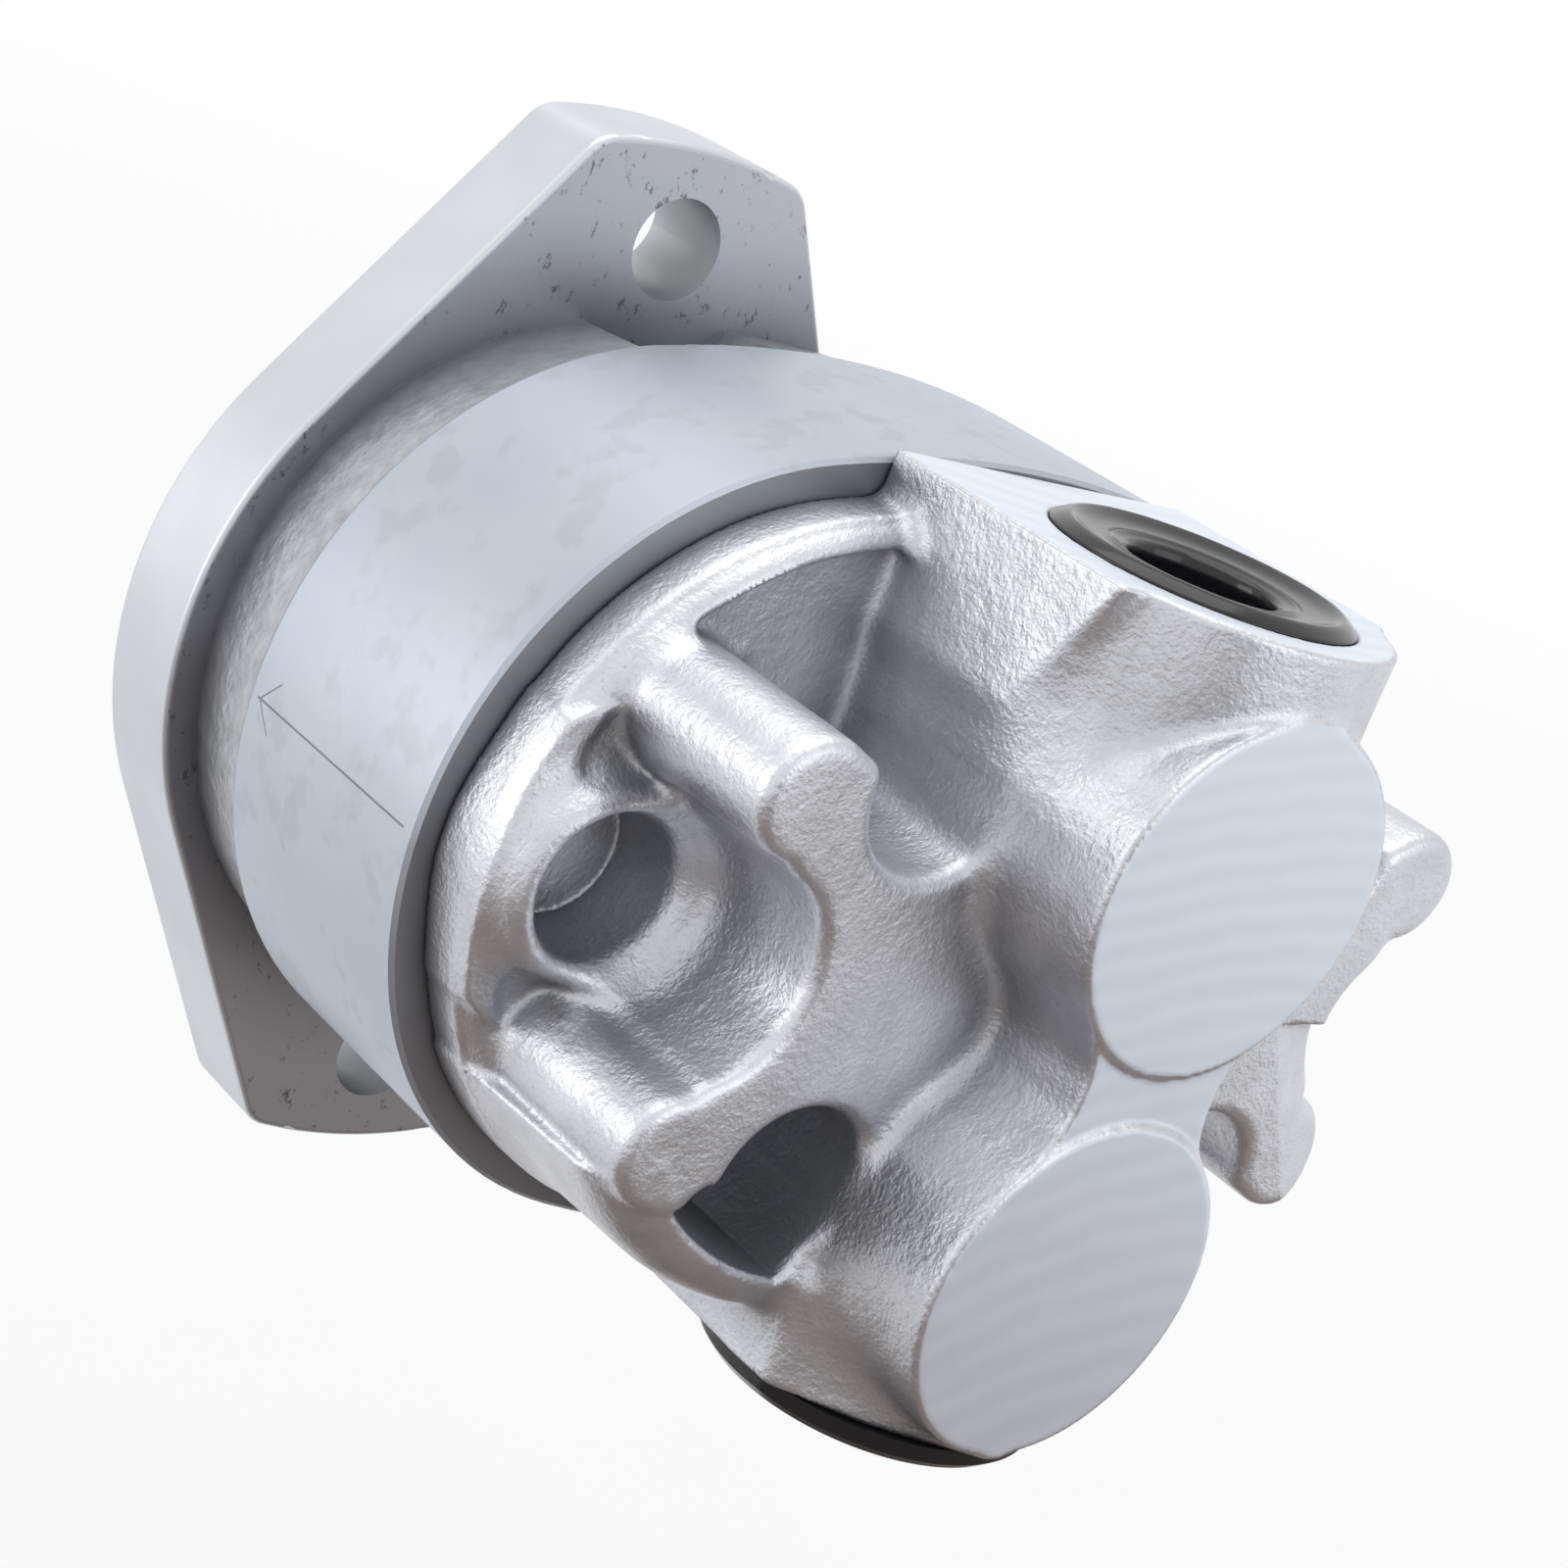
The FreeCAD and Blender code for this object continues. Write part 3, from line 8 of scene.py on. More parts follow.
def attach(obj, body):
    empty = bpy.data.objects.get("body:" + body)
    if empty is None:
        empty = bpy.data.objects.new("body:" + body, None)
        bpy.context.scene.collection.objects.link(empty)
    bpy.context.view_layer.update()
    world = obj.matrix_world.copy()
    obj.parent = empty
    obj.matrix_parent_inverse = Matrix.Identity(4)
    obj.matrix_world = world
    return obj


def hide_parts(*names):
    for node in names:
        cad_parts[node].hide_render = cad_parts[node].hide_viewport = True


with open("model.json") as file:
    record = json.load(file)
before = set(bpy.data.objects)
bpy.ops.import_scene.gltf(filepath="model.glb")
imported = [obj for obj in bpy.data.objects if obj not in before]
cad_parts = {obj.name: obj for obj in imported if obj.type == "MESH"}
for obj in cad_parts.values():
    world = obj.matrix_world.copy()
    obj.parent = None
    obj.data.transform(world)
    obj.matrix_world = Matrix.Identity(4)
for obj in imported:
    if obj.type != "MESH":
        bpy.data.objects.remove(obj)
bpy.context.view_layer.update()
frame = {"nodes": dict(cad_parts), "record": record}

MM = 0.001
NODES = frame["nodes"]

# Sizes in millimetres. Depth is the distance behind the mounting face, so y = -depth.
CENTRES = 39.0           # between the two shafts; the drive shaft is at x 0
MIDDLE = CENTRES / 2
JOINT = 62.5             # depths, from the cover's front face to its rear bosses
RECESS_FLOOR = 64.5
FLOOR = 68.0
SHELF = 70.4
NOTCH_FLOOR = 70.6
RIM = 71.2
RING_TOP = 76.0
LAND = 94.4
BLOCK_TIP = 98.8
BOSS_CAST = 109.8
BOSS_FACE = 110.4
PORT_DEPTH = 88.5        # depth of the ports' axis
PORT_FACE = 47.6         # height of the port faces above and below the middle
PORT_BORE = 16.7         # radius of the port mouths
TOP_PORT_BOSS = 21.8     # radii of the round bosses
BOTTOM_PORT_BOSS = 19.0
REAR_BOSS = 20.4
REAR_BOSS_HEIGHTS = (20.0, -26.5)

# Outline of the casting: radius of its round sides, and height of the arch between them
SIDE_RADIUS = 46.2
CROWN = 48.4
WALL_INSET = 4.3
RIM_INSET = 7.3

# Round forms of the rear cover, seen along the depth: x, z and radius
LEFT_NOTCH = (-30.0, 0.0, 12.4)
RIGHT_NOTCH = (73.3, 0.0, 10.7)
LEFT_POCKET = (-9.5, 22.0, 9.7)
RIGHT_POCKET = (49.6, 22.0, 9.7)
LOW_POCKET = (-9.2, -23.7, 9.8)
LEFT_COLUMN = (-26.5, 19.5, 6.8)
RIGHT_COLUMN = (66.6, 17.9, 6.9)
LOW_COLUMN_WALL = (-26.5, -19.5, 7.4)
SHELF_EDGE = (-30.0, 0.0, 18.0)
RING = (-30.0, -0.3, 10.7)
RECESS = (-30.0, -0.3, 8.1)

# Land of the cover: its left and right ends, half its height at each of them, and how much
# the right end stands higher
LAND_LEFT = -26.5
LAND_RIGHT = 66.6
LAND_HALF_LEFT = 24.0
LAND_HALF_RIGHT = 22.4
LAND_STEP = 2.6

# The curved wall of the lower left pocket: its radii about the drive shaft
WALL_INNER = 35.2
WALL_OUTER = 41.9


# Distance fields: each gives the distance to a form, negative inside
def smooth_join(a, b, fillet):
    """Union with a fillet of about that size."""
    mix = np.maximum(fillet - np.abs(a - b), 0.0) / fillet
    return np.minimum(a, b) - mix * mix * fillet * 0.25


def smooth_common(a, b, edge):
    """What two forms share, its edges rounded."""
    return -smooth_join(-a, -b, edge)


def smooth_cut(a, b, edge):
    """a with b taken away, its edges rounded."""
    return smooth_common(a, -b, edge)


def all_of(*fields):
    """What several forms share, with sharp edges."""
    shared = fields[0]
    for field in fields[1:]:
        shared = np.maximum(shared, field)
    return shared


def ease(value, start, length):
    """0 up to start, then rising to 1 over that length."""
    return np.clip((value - start) / length, 0.0, 1.0)


def circle(u, v, cu, cv, radius):
    return np.hypot(u - cu, v - cv) - radius


def rectangle(u, v, cu, cv, half_u, half_v, corner):
    du = np.abs(u - cu) - half_u + corner
    dv = np.abs(v - cv) - half_v + corner
    outside = np.hypot(np.maximum(du, 0.0), np.maximum(dv, 0.0))
    return outside + np.minimum(np.maximum(du, dv), 0.0) - corner


def oval(x, z, inset):
    """The body's outline: round sides and flat-arched top and bottom."""
    radius = SIDE_RADIUS - inset
    crown = CROWN - inset
    rise = crown - radius
    drop = (MIDDLE * MIDDLE - rise * rise) / (2 * rise)
    across = np.abs(x - MIDDLE)
    up = np.abs(z)
    in_arch = across * drop < MIDDLE * (up + drop)
    arch = np.hypot(across, up + drop) - (crown + drop)
    side = np.hypot(across - MIDDLE, up) - radius
    return np.where(in_arch, arch, side)


def ripple(x, y, z, size, seed):
    """Smooth waves without direction, about from -1 to 1."""
    spin = np.random.RandomState(seed)
    total = np.zeros_like(x)
    for _ in range(7):
        way = spin.normal(size=3)
        way /= np.linalg.norm(way)
        turn = 2 * math.pi / (size * spin.uniform(0.7, 1.5))
        total += np.sin((way[0] * x + way[1] * y + way[2] * z) * turn + spin.uniform(0, 6.28))
    return total / 4.0


# Meshes
def placed(name, data):
    """A new object in the scene."""
    thing = bpy.data.objects.new(name, data)
    bpy.context.scene.collection.objects.link(thing)
    return thing


def crossing_points(values):
    """Numbers the grid cells that the zero surface crosses, and finds a point in each."""
    cells = tuple(n - 1 for n in values.shape)
    total = np.zeros(cells + (3,), np.float32)
    count = np.zeros(cells, np.float32)
    corners = [(a, b, c) for a in (0, 1) for b in (0, 1) for c in (0, 1)]

    def view(corner):
        return values[tuple(slice(c, c + n) for c, n in zip(corner, cells))]

    for start in corners:
        for axis in range(3):
            if start[axis]:
                continue
            end = list(start)
            end[axis] = 1
            first, second = view(start), view(end)
            crossing = (first < 0) != (second < 0)
            part = np.where(crossing, first / np.where(crossing, first - second, 1.0), 0.0)
            for k in range(3):
                total[..., k] += crossing * (start[k] + (part if k == axis else 0.0))
            count += crossing
    used = count > 0
    index = np.full(cells, -1, np.int64)
    index[used] = np.arange(used.sum())
    return index, np.argwhere(used) + total[used] / count[used][:, None]


def crossing_faces(values, index):
    """Faces that join the cells round each grid edge that the surface crosses."""
    shape = values.shape
    inside = values < 0
    faces = []
    for axis in range(3):
        first = [slice(1, n - 1) for n in shape]
        first[axis] = slice(0, shape[axis] - 1)
        second = list(first)
        second[axis] = slice(1, shape[axis])
        here, there = inside[tuple(first)], inside[tuple(second)]
        u, v = [k for k in range(3) if k != axis]
        for flip in (False, True):
            hits = np.argwhere(~here & there if flip else here & ~there)
            base = hits + np.array([part.start for part in first])
            ring = []
            for du, dv in ((0, 0), (-1, 0), (-1, -1), (0, -1)):
                cell = base.copy()
                cell[:, u] += du
                cell[:, v] += dv
                ring.append(index[cell[:, 0], cell[:, 1], cell[:, 2]])
            ring = np.stack(ring, axis=1)
            turned = (axis == 1) != flip
            faces.append(ring[:, ::-1] if turned else ring)
    return np.concatenate(faces)


def surface_mesh(name, field, lows, highs, step):
    """Mesh of the zero surface of a distance field, sampled on a grid of that step."""
    axes = [np.arange(low, high + step, step) for low, high in zip(lows, highs)]
    values = field(*np.meshgrid(*axes, indexing="ij")).astype(np.float32)
    index, cell_points = crossing_points(values)
    quads = crossing_faces(values, index)
    points = np.array(lows) + cell_points * step
    metres = np.column_stack([points[:, 0], -points[:, 1], points[:, 2]]) * MM
    mesh = bpy.data.meshes.new(name)
    mesh.vertices.add(len(metres))
    mesh.vertices.foreach_set("co", metres.astype(np.float32).ravel())
    mesh.loops.add(quads.size)
    mesh.loops.foreach_set("vertex_index", quads.astype(np.int32).ravel())
    mesh.polygons.add(len(quads))
    mesh.polygons.foreach_set("loop_start", np.arange(0, quads.size, 4, dtype=np.int32))
    mesh.update(calc_edges=True)
    mesh.validate()
    mesh.shade_smooth()
    return placed(name, mesh)


def turned_mesh(name, profile, centre_x, centre_s, count=96):
    """Closed form turned about an upright axis from points of radius and height."""
    points = [(0.0, profile[0][1])] + list(profile) + [(0.0, profile[-1][1])]
    vertices = []
    for radius, height in points:
        for k in range(count):
            turn = 2 * math.pi * k / count
            x = centre_x + radius * math.cos(turn)
            s = centre_s + radius * math.sin(turn)
            vertices.append((x * MM, -s * MM, height * MM))
    faces = []
    for row in range(len(points) - 1):
        for k in range(count):
            here = row * count + k
            beside = row * count + (k + 1) % count
            faces.append((here, here + count, beside + count, beside))
    mesh = bpy.data.meshes.new(name)
    mesh.from_pydata(vertices, [], faces)
    mesh.validate()
    mesh.shade_smooth()
    return placed(name, mesh)


# The rear cover, one die casting. Every field takes x, s and z, and s is the depth.
def floor_and_rim(x, s, z, outline):
    plate = np.maximum(outline, s - FLOOR)
    rim = smooth_common(outline, s - RIM, edge=5.5)
    rim = smooth_common(rim, -oval(x, z, RIM_INSET), edge=1.2)
    return smooth_join(plate, rim, fillet=0.8)


def end_notches(x, s, z):
    """The two slightly tapered notches at the ends of the land."""
    notch = np.where(x > MIDDLE, circle(x, z, *RIGHT_NOTCH), circle(x, z, *LEFT_NOTCH))
    return np.maximum(notch + 0.02 * (LAND - s), NOTCH_FLOOR - s)


def low_left_pocket(x, z):
    """The larger pocket, between a curved wall, a screw column and a diagonal web."""
    diagonal = (x - 1.0) * 0.789 - (z + 26.4) * 0.615
    upper_end = np.minimum(circle(x, z, *LOW_POCKET), z - LOW_POCKET[1])
    beside_column = -circle(x, z, *LOW_COLUMN_WALL)
    return all_of(upper_end, np.hypot(x, z) - WALL_INNER, diagonal, beside_column)


def pockets(x, z, low_pocket):
    """The four pockets between the land and the port blocks."""
    up = np.abs(z)
    right = x > MIDDLE
    pocket = np.where(right, circle(x, up, *RIGHT_POCKET), circle(x, up, *LEFT_POCKET))
    return np.where((z < 0) & ~right, low_pocket, pocket)


def land_with_columns(x, s, z):
    """The rear land with its four screw columns; its right end stands higher."""
    up = np.abs(z)
    half_height = np.where(x > MIDDLE, LAND_HALF_RIGHT, LAND_HALF_LEFT)
    centre = (LAND_LEFT + LAND_RIGHT) / 2
    half_width = (LAND_RIGHT - LAND_LEFT) / 2
    land = rectangle(x, z, centre, 0, half_width, half_height, corner=2.0)
    columns = np.minimum(circle(x, up, *LEFT_COLUMN), circle(x, up, *RIGHT_COLUMN))
    land = smooth_join(land, columns, fillet=2.0)
    land = np.minimum(land, rectangle(x, z, MIDDLE, -26.0, 18.0, 12.0, corner=2.0))
    land = smooth_cut(land, end_notches(x, s, z), edge=1.6)
    level = LAND + LAND_STEP * ease(x, 38.0, 6.0)
    beyond = (x - 57.5) * 0.83 + (z + 7.0) * 0.56
    level = level - 0.25 * np.where(z < 0, np.maximum(beyond, 0.0), 0.0)
    return smooth_common(land, s - level, edge=1.9)


def upper_block(x, s, z):
    """Block of the upper port, its rear corners sloped down to the pockets."""
    side = ease(np.abs(x - MIDDLE), 19.0, 3.8)
    left_drop = np.maximum(0.55 * (PORT_FACE - z) - 0.4, -0.4)
    tip = BLOCK_TIP - side * np.where(x > MIDDLE, 3.0, left_drop)
    block = rectangle(x, z, MIDDLE, 44.0, 22.8, 20.0, corner=1.5)
    return smooth_common(block, (s - tip) * 0.8, edge=1.0)


def pocket_wall(x, s, z):
    """Curved wall round the lower left pocket, with a rounded crest."""
    from_drive = np.hypot(x, z)
    crest = LAND - 1.4 * np.clip((35.0 - from_drive) / 3.0, 0.0, 1.0)
    wall = smooth_common(from_drive - WALL_OUTER + 0.035 * (s - JOINT), s - crest, edge=8.5)
    return all_of(wall, 0.805 * z - 0.593 * x, x - 1.0)


def with_ring(solid, x, s, z, outline):
    """Adds the shelf and the ring in the left notch, and cuts the ring's recess."""
    shelf = all_of(outline, circle(x, z, *SHELF_EDGE), s - SHELF)
    solid = smooth_join(solid, shelf, fillet=1.5)
    ring = circle(x, z, *RING) + 0.06 * (s - RING_TOP)
    ring = smooth_common(ring, s - RING_TOP, edge=3.6)
    solid = smooth_join(solid, ring, fillet=5.0)
    recess = np.maximum(circle(x, z, *RECESS) - 0.05 * (s - 70.0), RECESS_FLOOR - s)
    return smooth_cut(solid, recess, edge=2.6)


def rear_bosses(x, s, z):
    """The two rear bosses with filleted roots, and the web between them."""
    bosses = rectangle(x, z, MIDDLE, -3.2, 10.5, 7.5, corner=1.0)
    circles = np.full_like(x, 50.0)
    for rise in REAR_BOSS_HEIGHTS:
        outward = ease(z * np.sign(rise), abs(rise), 12.0)
        root = np.clip((106.0 - s) / 12.6, 0.0, 1.0) ** 1.6
        spread = (0.8 + 2.4 * outward) * root
        boss = circle(x, z, MIDDLE, rise, REAR_BOSS)
        circles = np.minimum(circles, boss)
        bosses = smooth_join(bosses, (boss - spread) * 0.97, fillet=4.0)
    raised = 0.6 * np.clip(0.5 - circles / 0.3, 0.0, 1.0)
    return np.maximum(bosses, s - BOSS_CAST - raised)


def with_port_bosses(solid, x, s, z):
    """Adds the round bosses of both ports, and the block of the lower one."""
    top = np.maximum(circle(x, s, MIDDLE, PORT_DEPTH, TOP_PORT_BOSS), 24.0 - z)
    solid = smooth_join(solid, top, fillet=1.6)
    bottom = np.maximum(circle(x, s, MIDDLE, PORT_DEPTH, BOTTOM_PORT_BOSS), z + 26.0)
    solid = smooth_join(solid, bottom, fillet=3.0)
    facet = (s - 96.1) * 0.81 - (18.7 - np.abs(x - MIDDLE)) * 0.59
    block = rectangle(x, z, MIDDLE, -50.0, 20.9, 17.0, corner=4.5)
    return smooth_join(solid, smooth_common(block, facet, edge=1.2), fillet=3.0)


def milled(solid, x, s, z):
    """Faces the joint, the ports and the bosses, and bores the two ports."""
    up = np.abs(z)
    solid = all_of(solid, JOINT - s, up - PORT_FACE, s - BOSS_FACE)
    mouth = np.maximum(up - PORT_FACE + 0.7, 0.0) * np.where(z > 0, 1.0, 0.2)
    bore = np.hypot(x - MIDDLE, s - PORT_DEPTH) - PORT_BORE - mouth
    bore = np.maximum(bore, PORT_FACE - 20.0 - up)
    return np.maximum(solid, -bore)


def rear_cover_field(x, s, z):
    outline = oval(x, z, WALL_INSET)
    low_pocket = low_left_pocket(x, z)
    land = smooth_join(land_with_columns(x, s, z), upper_block(x, s, z), fillet=1.5)
    land = smooth_cut(land, pockets(x, z, low_pocket), edge=2.0)
    wall = smooth_cut(pocket_wall(x, s, z), low_pocket, edge=1.2)
    land = smooth_join(land, wall, fillet=1.0)
    solid = smooth_join(floor_and_rim(x, s, z, outline), land, fillet=2.2)
    solid = with_ring(solid, x, s, z, outline)
    solid = smooth_join(solid, rear_bosses(x, s, z), fillet=2.6)
    solid = with_port_bosses(solid, x, s, z)
    solid = solid + 0.03 * ripple(x, s, z, 9.0, 3) + 0.015 * ripple(x, s, z, 3.5, 4)
    return milled(solid, x, s, z)


GRID_LOWS = (-46.0, 61.0, -49.0)
GRID_HIGHS = (85.0, 112.0, 49.0)
GRID_STEP = 0.45
cover = surface_mesh("rear_cover_casting", rear_cover_field, GRID_LOWS, GRID_HIGHS, GRID_STEP)
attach(cover, "pump_body")
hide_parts("rear_cover")

# Radius and height along the top plug: a straight skirt, a proud rounded lip, a dished top
# and a hollow in its middle
PLUG = [(16.3, 38.0), (16.4, 40.0), (16.4, 47.3), (17.2, 47.5), (17.3, 47.65), (17.0, 47.9),
        (16.1, 48.5), (15.6, 48.75), (15.3, 48.8), (15.0, 48.72), (14.2, 48.3), (13.0, 47.95),
        (11.6, 47.8), (10.8, 47.8), (10.6, 47.92), (10.4, 47.92), (10.2, 47.75), (9.2, 47.6),
        (8.6, 47.4), (8.4, 47.0), (8.3, 46.0), (8.2, 41.0), (8.0, 40.0)]
plug = turned_mesh("top_port_plug_turned", PLUG, MIDDLE, PORT_DEPTH)
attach(plug, "pump_body")
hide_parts("top_port_plug")


# Shader helpers
class Nodes:
    """Adds the nodes of one tree and joins them."""

    def __init__(self, tree):
        self.tree = tree
        self.tree.nodes.clear()

    def add(self, kind, **settings):
        node = self.tree.nodes.new(kind)
        for key, value in settings.items():
            setattr(node, key, value)
        return node

    def link(self, a, b):
        self.tree.links.new(a, b)

    def feed(self, socket, value):
        """Links a socket, or sets a number or an opaque colour."""
        if isinstance(value, bpy.types.NodeSocket):
            self.link(value, socket)
        elif isinstance(value, tuple):
            socket.default_value = value + (1.0,)
        else:
            socket.default_value = value

    def math(self, operation, a, b=0.0, c=0.0, clamp=False):
        node = self.add("ShaderNodeMath", operation=operation, use_clamp=clamp)
        for socket, value in zip(node.inputs, (a, b, c)):
            self.feed(socket, value)
        return node.outputs[0]

    def ramp(self, value, stops):
        """Colours or greys at positions along a value."""
        node = self.add("ShaderNodeValToRGB")
        self.feed(node.inputs[0], value)
        elements = node.color_ramp.elements
        while len(elements) < len(stops):
            elements.new(0.5)
        for element, (position, colour) in zip(elements, stops):
            element.position = position
            if not isinstance(colour, tuple):
                colour = (colour, colour, colour)
            element.color = colour + (1.0,)
        return node.outputs[0]

    def split(self, vector):
        node = self.add("ShaderNodeSeparateXYZ")
        self.link(vector, node.inputs[0])
        return node.outputs

    def mixed_shaders(self, factor, first, second):
        node = self.add("ShaderNodeMixShader")
        for socket, value in zip(node.inputs, (factor, first, second)):
            self.link(value, socket)
        return node.outputs[0]

    def direct_rays(self):
        """1 for rays of the camera, of gloss and of glass, 0 for all others."""
        path = self.add("ShaderNodeLightPath").outputs
        seen = self.math("MAXIMUM", path["Is Glossy Ray"], path["Is Transmission Ray"])
        return self.math("MAXIMUM", seen, path["Is Camera Ray"])


class Material(Nodes):
    """The nodes of one material, whose lengths are in millimetres."""

    def __init__(self, name):
        self.material = bpy.data.materials.new(name)
        self.material.use_nodes = True
        super().__init__(self.material.node_tree)
        self.output = self.add("ShaderNodeOutputMaterial")
        self.surface = self.add("ShaderNodeBsdfPrincipled")
        self.link(self.surface.outputs[0], self.output.inputs[0])
        self.place = self.add("ShaderNodeTexCoord").outputs["Object"]

    def scaled(self, scale):
        """The place on the object, each coordinate multiplied."""
        node = self.add("ShaderNodeVectorMath", operation="MULTIPLY")
        self.link(self.place, node.inputs[0])
        node.inputs[1].default_value = scale
        return node.outputs[0]

    def coordinates(self):
        """x, depth and z in millimetres."""
        return self.split(self.scaled((1000.0, -1000.0, 1000.0)))

    def noise(self, size, detail=3.0, roughness=0.5, stretch=(1, 1, 1)):
        """Noise whose bumps are about that wide."""
        node = self.add("ShaderNodeTexNoise")
        self.link(self.scaled(tuple(1000.0 * part for part in stretch)), node.inputs["Vector"])
        node.inputs["Scale"].default_value = 1.0 / size
        node.inputs["Detail"].default_value = detail
        node.inputs["Roughness"].default_value = roughness
        return node.outputs[0]

    def mix(self, factor, a, b):
        """Mixes two colours."""
        node = self.add("ShaderNodeMix", data_type="RGBA")
        self.feed(node.inputs[0], factor)
        self.feed(node.inputs[6], a)
        self.feed(node.inputs[7], b)
        return node.outputs[2]

    def mix_normals(self, factor, a, b):
        node = self.add("ShaderNodeMix", data_type="VECTOR")
        self.link(factor, node.inputs[0])
        self.link(a, node.inputs[4])
        self.link(b, node.inputs[5])
        return node.outputs[1]

    def blend(self, factor, a, b):
        """Mixes two numbers."""
        node = self.add("ShaderNodeMix", data_type="FLOAT")
        self.feed(node.inputs[0], factor)
        self.feed(node.inputs[2], a)
        self.feed(node.inputs[3], b)
        return node.outputs[0]

    def bump(self, height, distance, strength=1.0, under=None):
        node = self.add("ShaderNodeBump")
        self.feed(node.inputs["Height"], height)
        self.feed(node.inputs["Strength"], strength)
        node.inputs["Distance"].default_value = distance * MM
        if under is not None:
            self.link(under, node.inputs["Normal"])
        return node.outputs[0]

    def window(self, value, low, high, soft):
        """1 between two limits, 0 outside them."""
        rise = self.math("MULTIPLY_ADD", value, 1.0 / soft, -low / soft + 0.5, clamp=True)
        fall = self.math("MULTIPLY_ADD", value, -1.0 / soft, high / soft + 0.5, clamp=True)
        return self.math("MULTIPLY", rise, fall)

    def facing(self, axis, sign, limit):
        """1 where the surface looks along an axis."""
        normal = self.add("ShaderNodeNewGeometry").outputs["Normal"]
        part = self.split(normal)[axis]
        return self.math("MULTIPLY_ADD", part, 40.0 * sign, -40.0 * limit, clamp=True)

    def both(self, first, *others):
        """1 where every mask is 1."""
        for other in others:
            first = self.math("MULTIPLY", first, other)
        return first

    def recess_shade(self, colour, reach, depth):
        """Paints shade into a colour: darkens it in hollows as wide as reach."""
        shade = self.add("ShaderNodeAmbientOcclusion")
        shade.samples = 12
        shade.inputs["Distance"].default_value = reach * MM
        open_part = self.math("POWER", shade.outputs["AO"], 1.2)
        keep = self.math("MULTIPLY_ADD", open_part, depth, 1.0 - depth, clamp=True)
        keep = self.math("MAXIMUM", keep, 0.5)
        return self.mix(keep, (0.0, 0.0, 0.0), colour)

    def finish(self, colour, metallic, roughness, normal=None):
        surface = self.surface.inputs
        self.feed(surface["Base Color"], colour)
        self.feed(surface["Metallic"], metallic)
        self.feed(surface["Roughness"], roughness)
        if normal is not None:
            self.link(normal, surface["Normal"])
        return self.material


# Materials
Y_AXIS = 1
Z_AXIS = 2
FAR = 200.0              # beyond every face of the pump
NECK = 13.7              # depths at which the housing's neck and its turned body begin
BODY = 27.3
LINE_HEIGHT = -1.6       # of the scribed line on the body's left side
LINE_START = 30.0


def mill_marks(m):
    """Curved marks of the cutter, as wide arcs about a point beside the object."""
    marks = m.add("ShaderNodeTexWave", wave_type="RINGS", rings_direction="SPHERICAL")
    offset = m.add("ShaderNodeVectorMath", operation="ADD")
    m.link(m.place, offset.inputs[0])
    offset.inputs[1].default_value = (-0.04, 0.0, 0.10)
    m.link(offset.outputs[0], marks.inputs["Vector"])
    marks.inputs["Scale"].default_value = 120.0
    marks.inputs["Distortion"].default_value = 2.0
    marks.inputs["Detail"].default_value = 1.0
    return marks.outputs["Fac"]


def cast_cover_material():
    """Grainy casting with milled boss faces and a milled upper port face."""
    m = Material("cast_cover")
    _, depth, z = m.coordinates()
    milled_rear = m.both(m.window(depth, BOSS_CAST - 0.2, FAR, 0.05), m.facing(Y_AXIS, -1.0, 0.95),
                         m.window(z, -60.0, 40.6, 0.1))
    milled_top = m.both(m.window(z, PORT_FACE - 0.2, FAR, 0.05), m.facing(Z_AXIS, 1.0, 0.95))
    milled_part = m.math("MAXIMUM", milled_rear, milled_top)
    lumps = m.bump(m.noise(1.5, 3.0, 0.6), 0.13)
    grainy = m.bump(m.noise(0.6, 2.0, 0.6), 0.09, under=lumps)
    marks = mill_marks(m)
    normal = m.mix_normals(milled_part, grainy, m.bump(marks, 0.004, 0.3))
    tone = m.noise(7.0, 3.0, 0.55)
    cast = m.ramp(tone, [(0.3, (0.61, 0.62, 0.65)), (0.7, (0.72, 0.73, 0.77))])
    specks = m.ramp(m.noise(0.5, 2.0, 0.7), [(0.30, 0.75), (0.40, 1.0)])
    cast = m.mix(specks, (0.25, 0.25, 0.27), cast)
    # Painted shade: the casting's colour is darkened in its hollows
    cast = m.recess_shade(cast, 9.0, 0.8)
    bright = m.mix(marks, (0.75, 0.79, 0.86), (0.79, 0.83, 0.90))
    colour = m.mix(milled_part, cast, bright)
    roughness = m.blend(milled_part, 0.4, 0.5)
    metallic = m.blend(milled_part, 0.92, 0.8)
    return m.finish(colour, metallic, roughness, normal)


def scribed_line(m, x, depth, z):
    """The line with a plain arrow head on the body's left side."""
    on_left = m.window(x, -60.0, -40.0, 0.5)
    height = m.math("ADD", z, -LINE_HEIGHT)
    line = m.both(m.window(height, -0.13, 0.13, 0.08), on_left, m.window(depth, 29.5, 60.5, 0.2))
    for slope in (1.0, -1.0):
        height = m.math("MULTIPLY_ADD", depth, slope, LINE_HEIGHT - LINE_START * slope)
        gap = m.math("SUBTRACT", z, height)
        stroke = m.both(m.window(gap, -0.14, 0.14, 0.08), on_left,
                        m.window(depth, LINE_START, LINE_START + 3.0, 0.2))
        line = m.math("MAXIMUM", line, stroke)
    return line


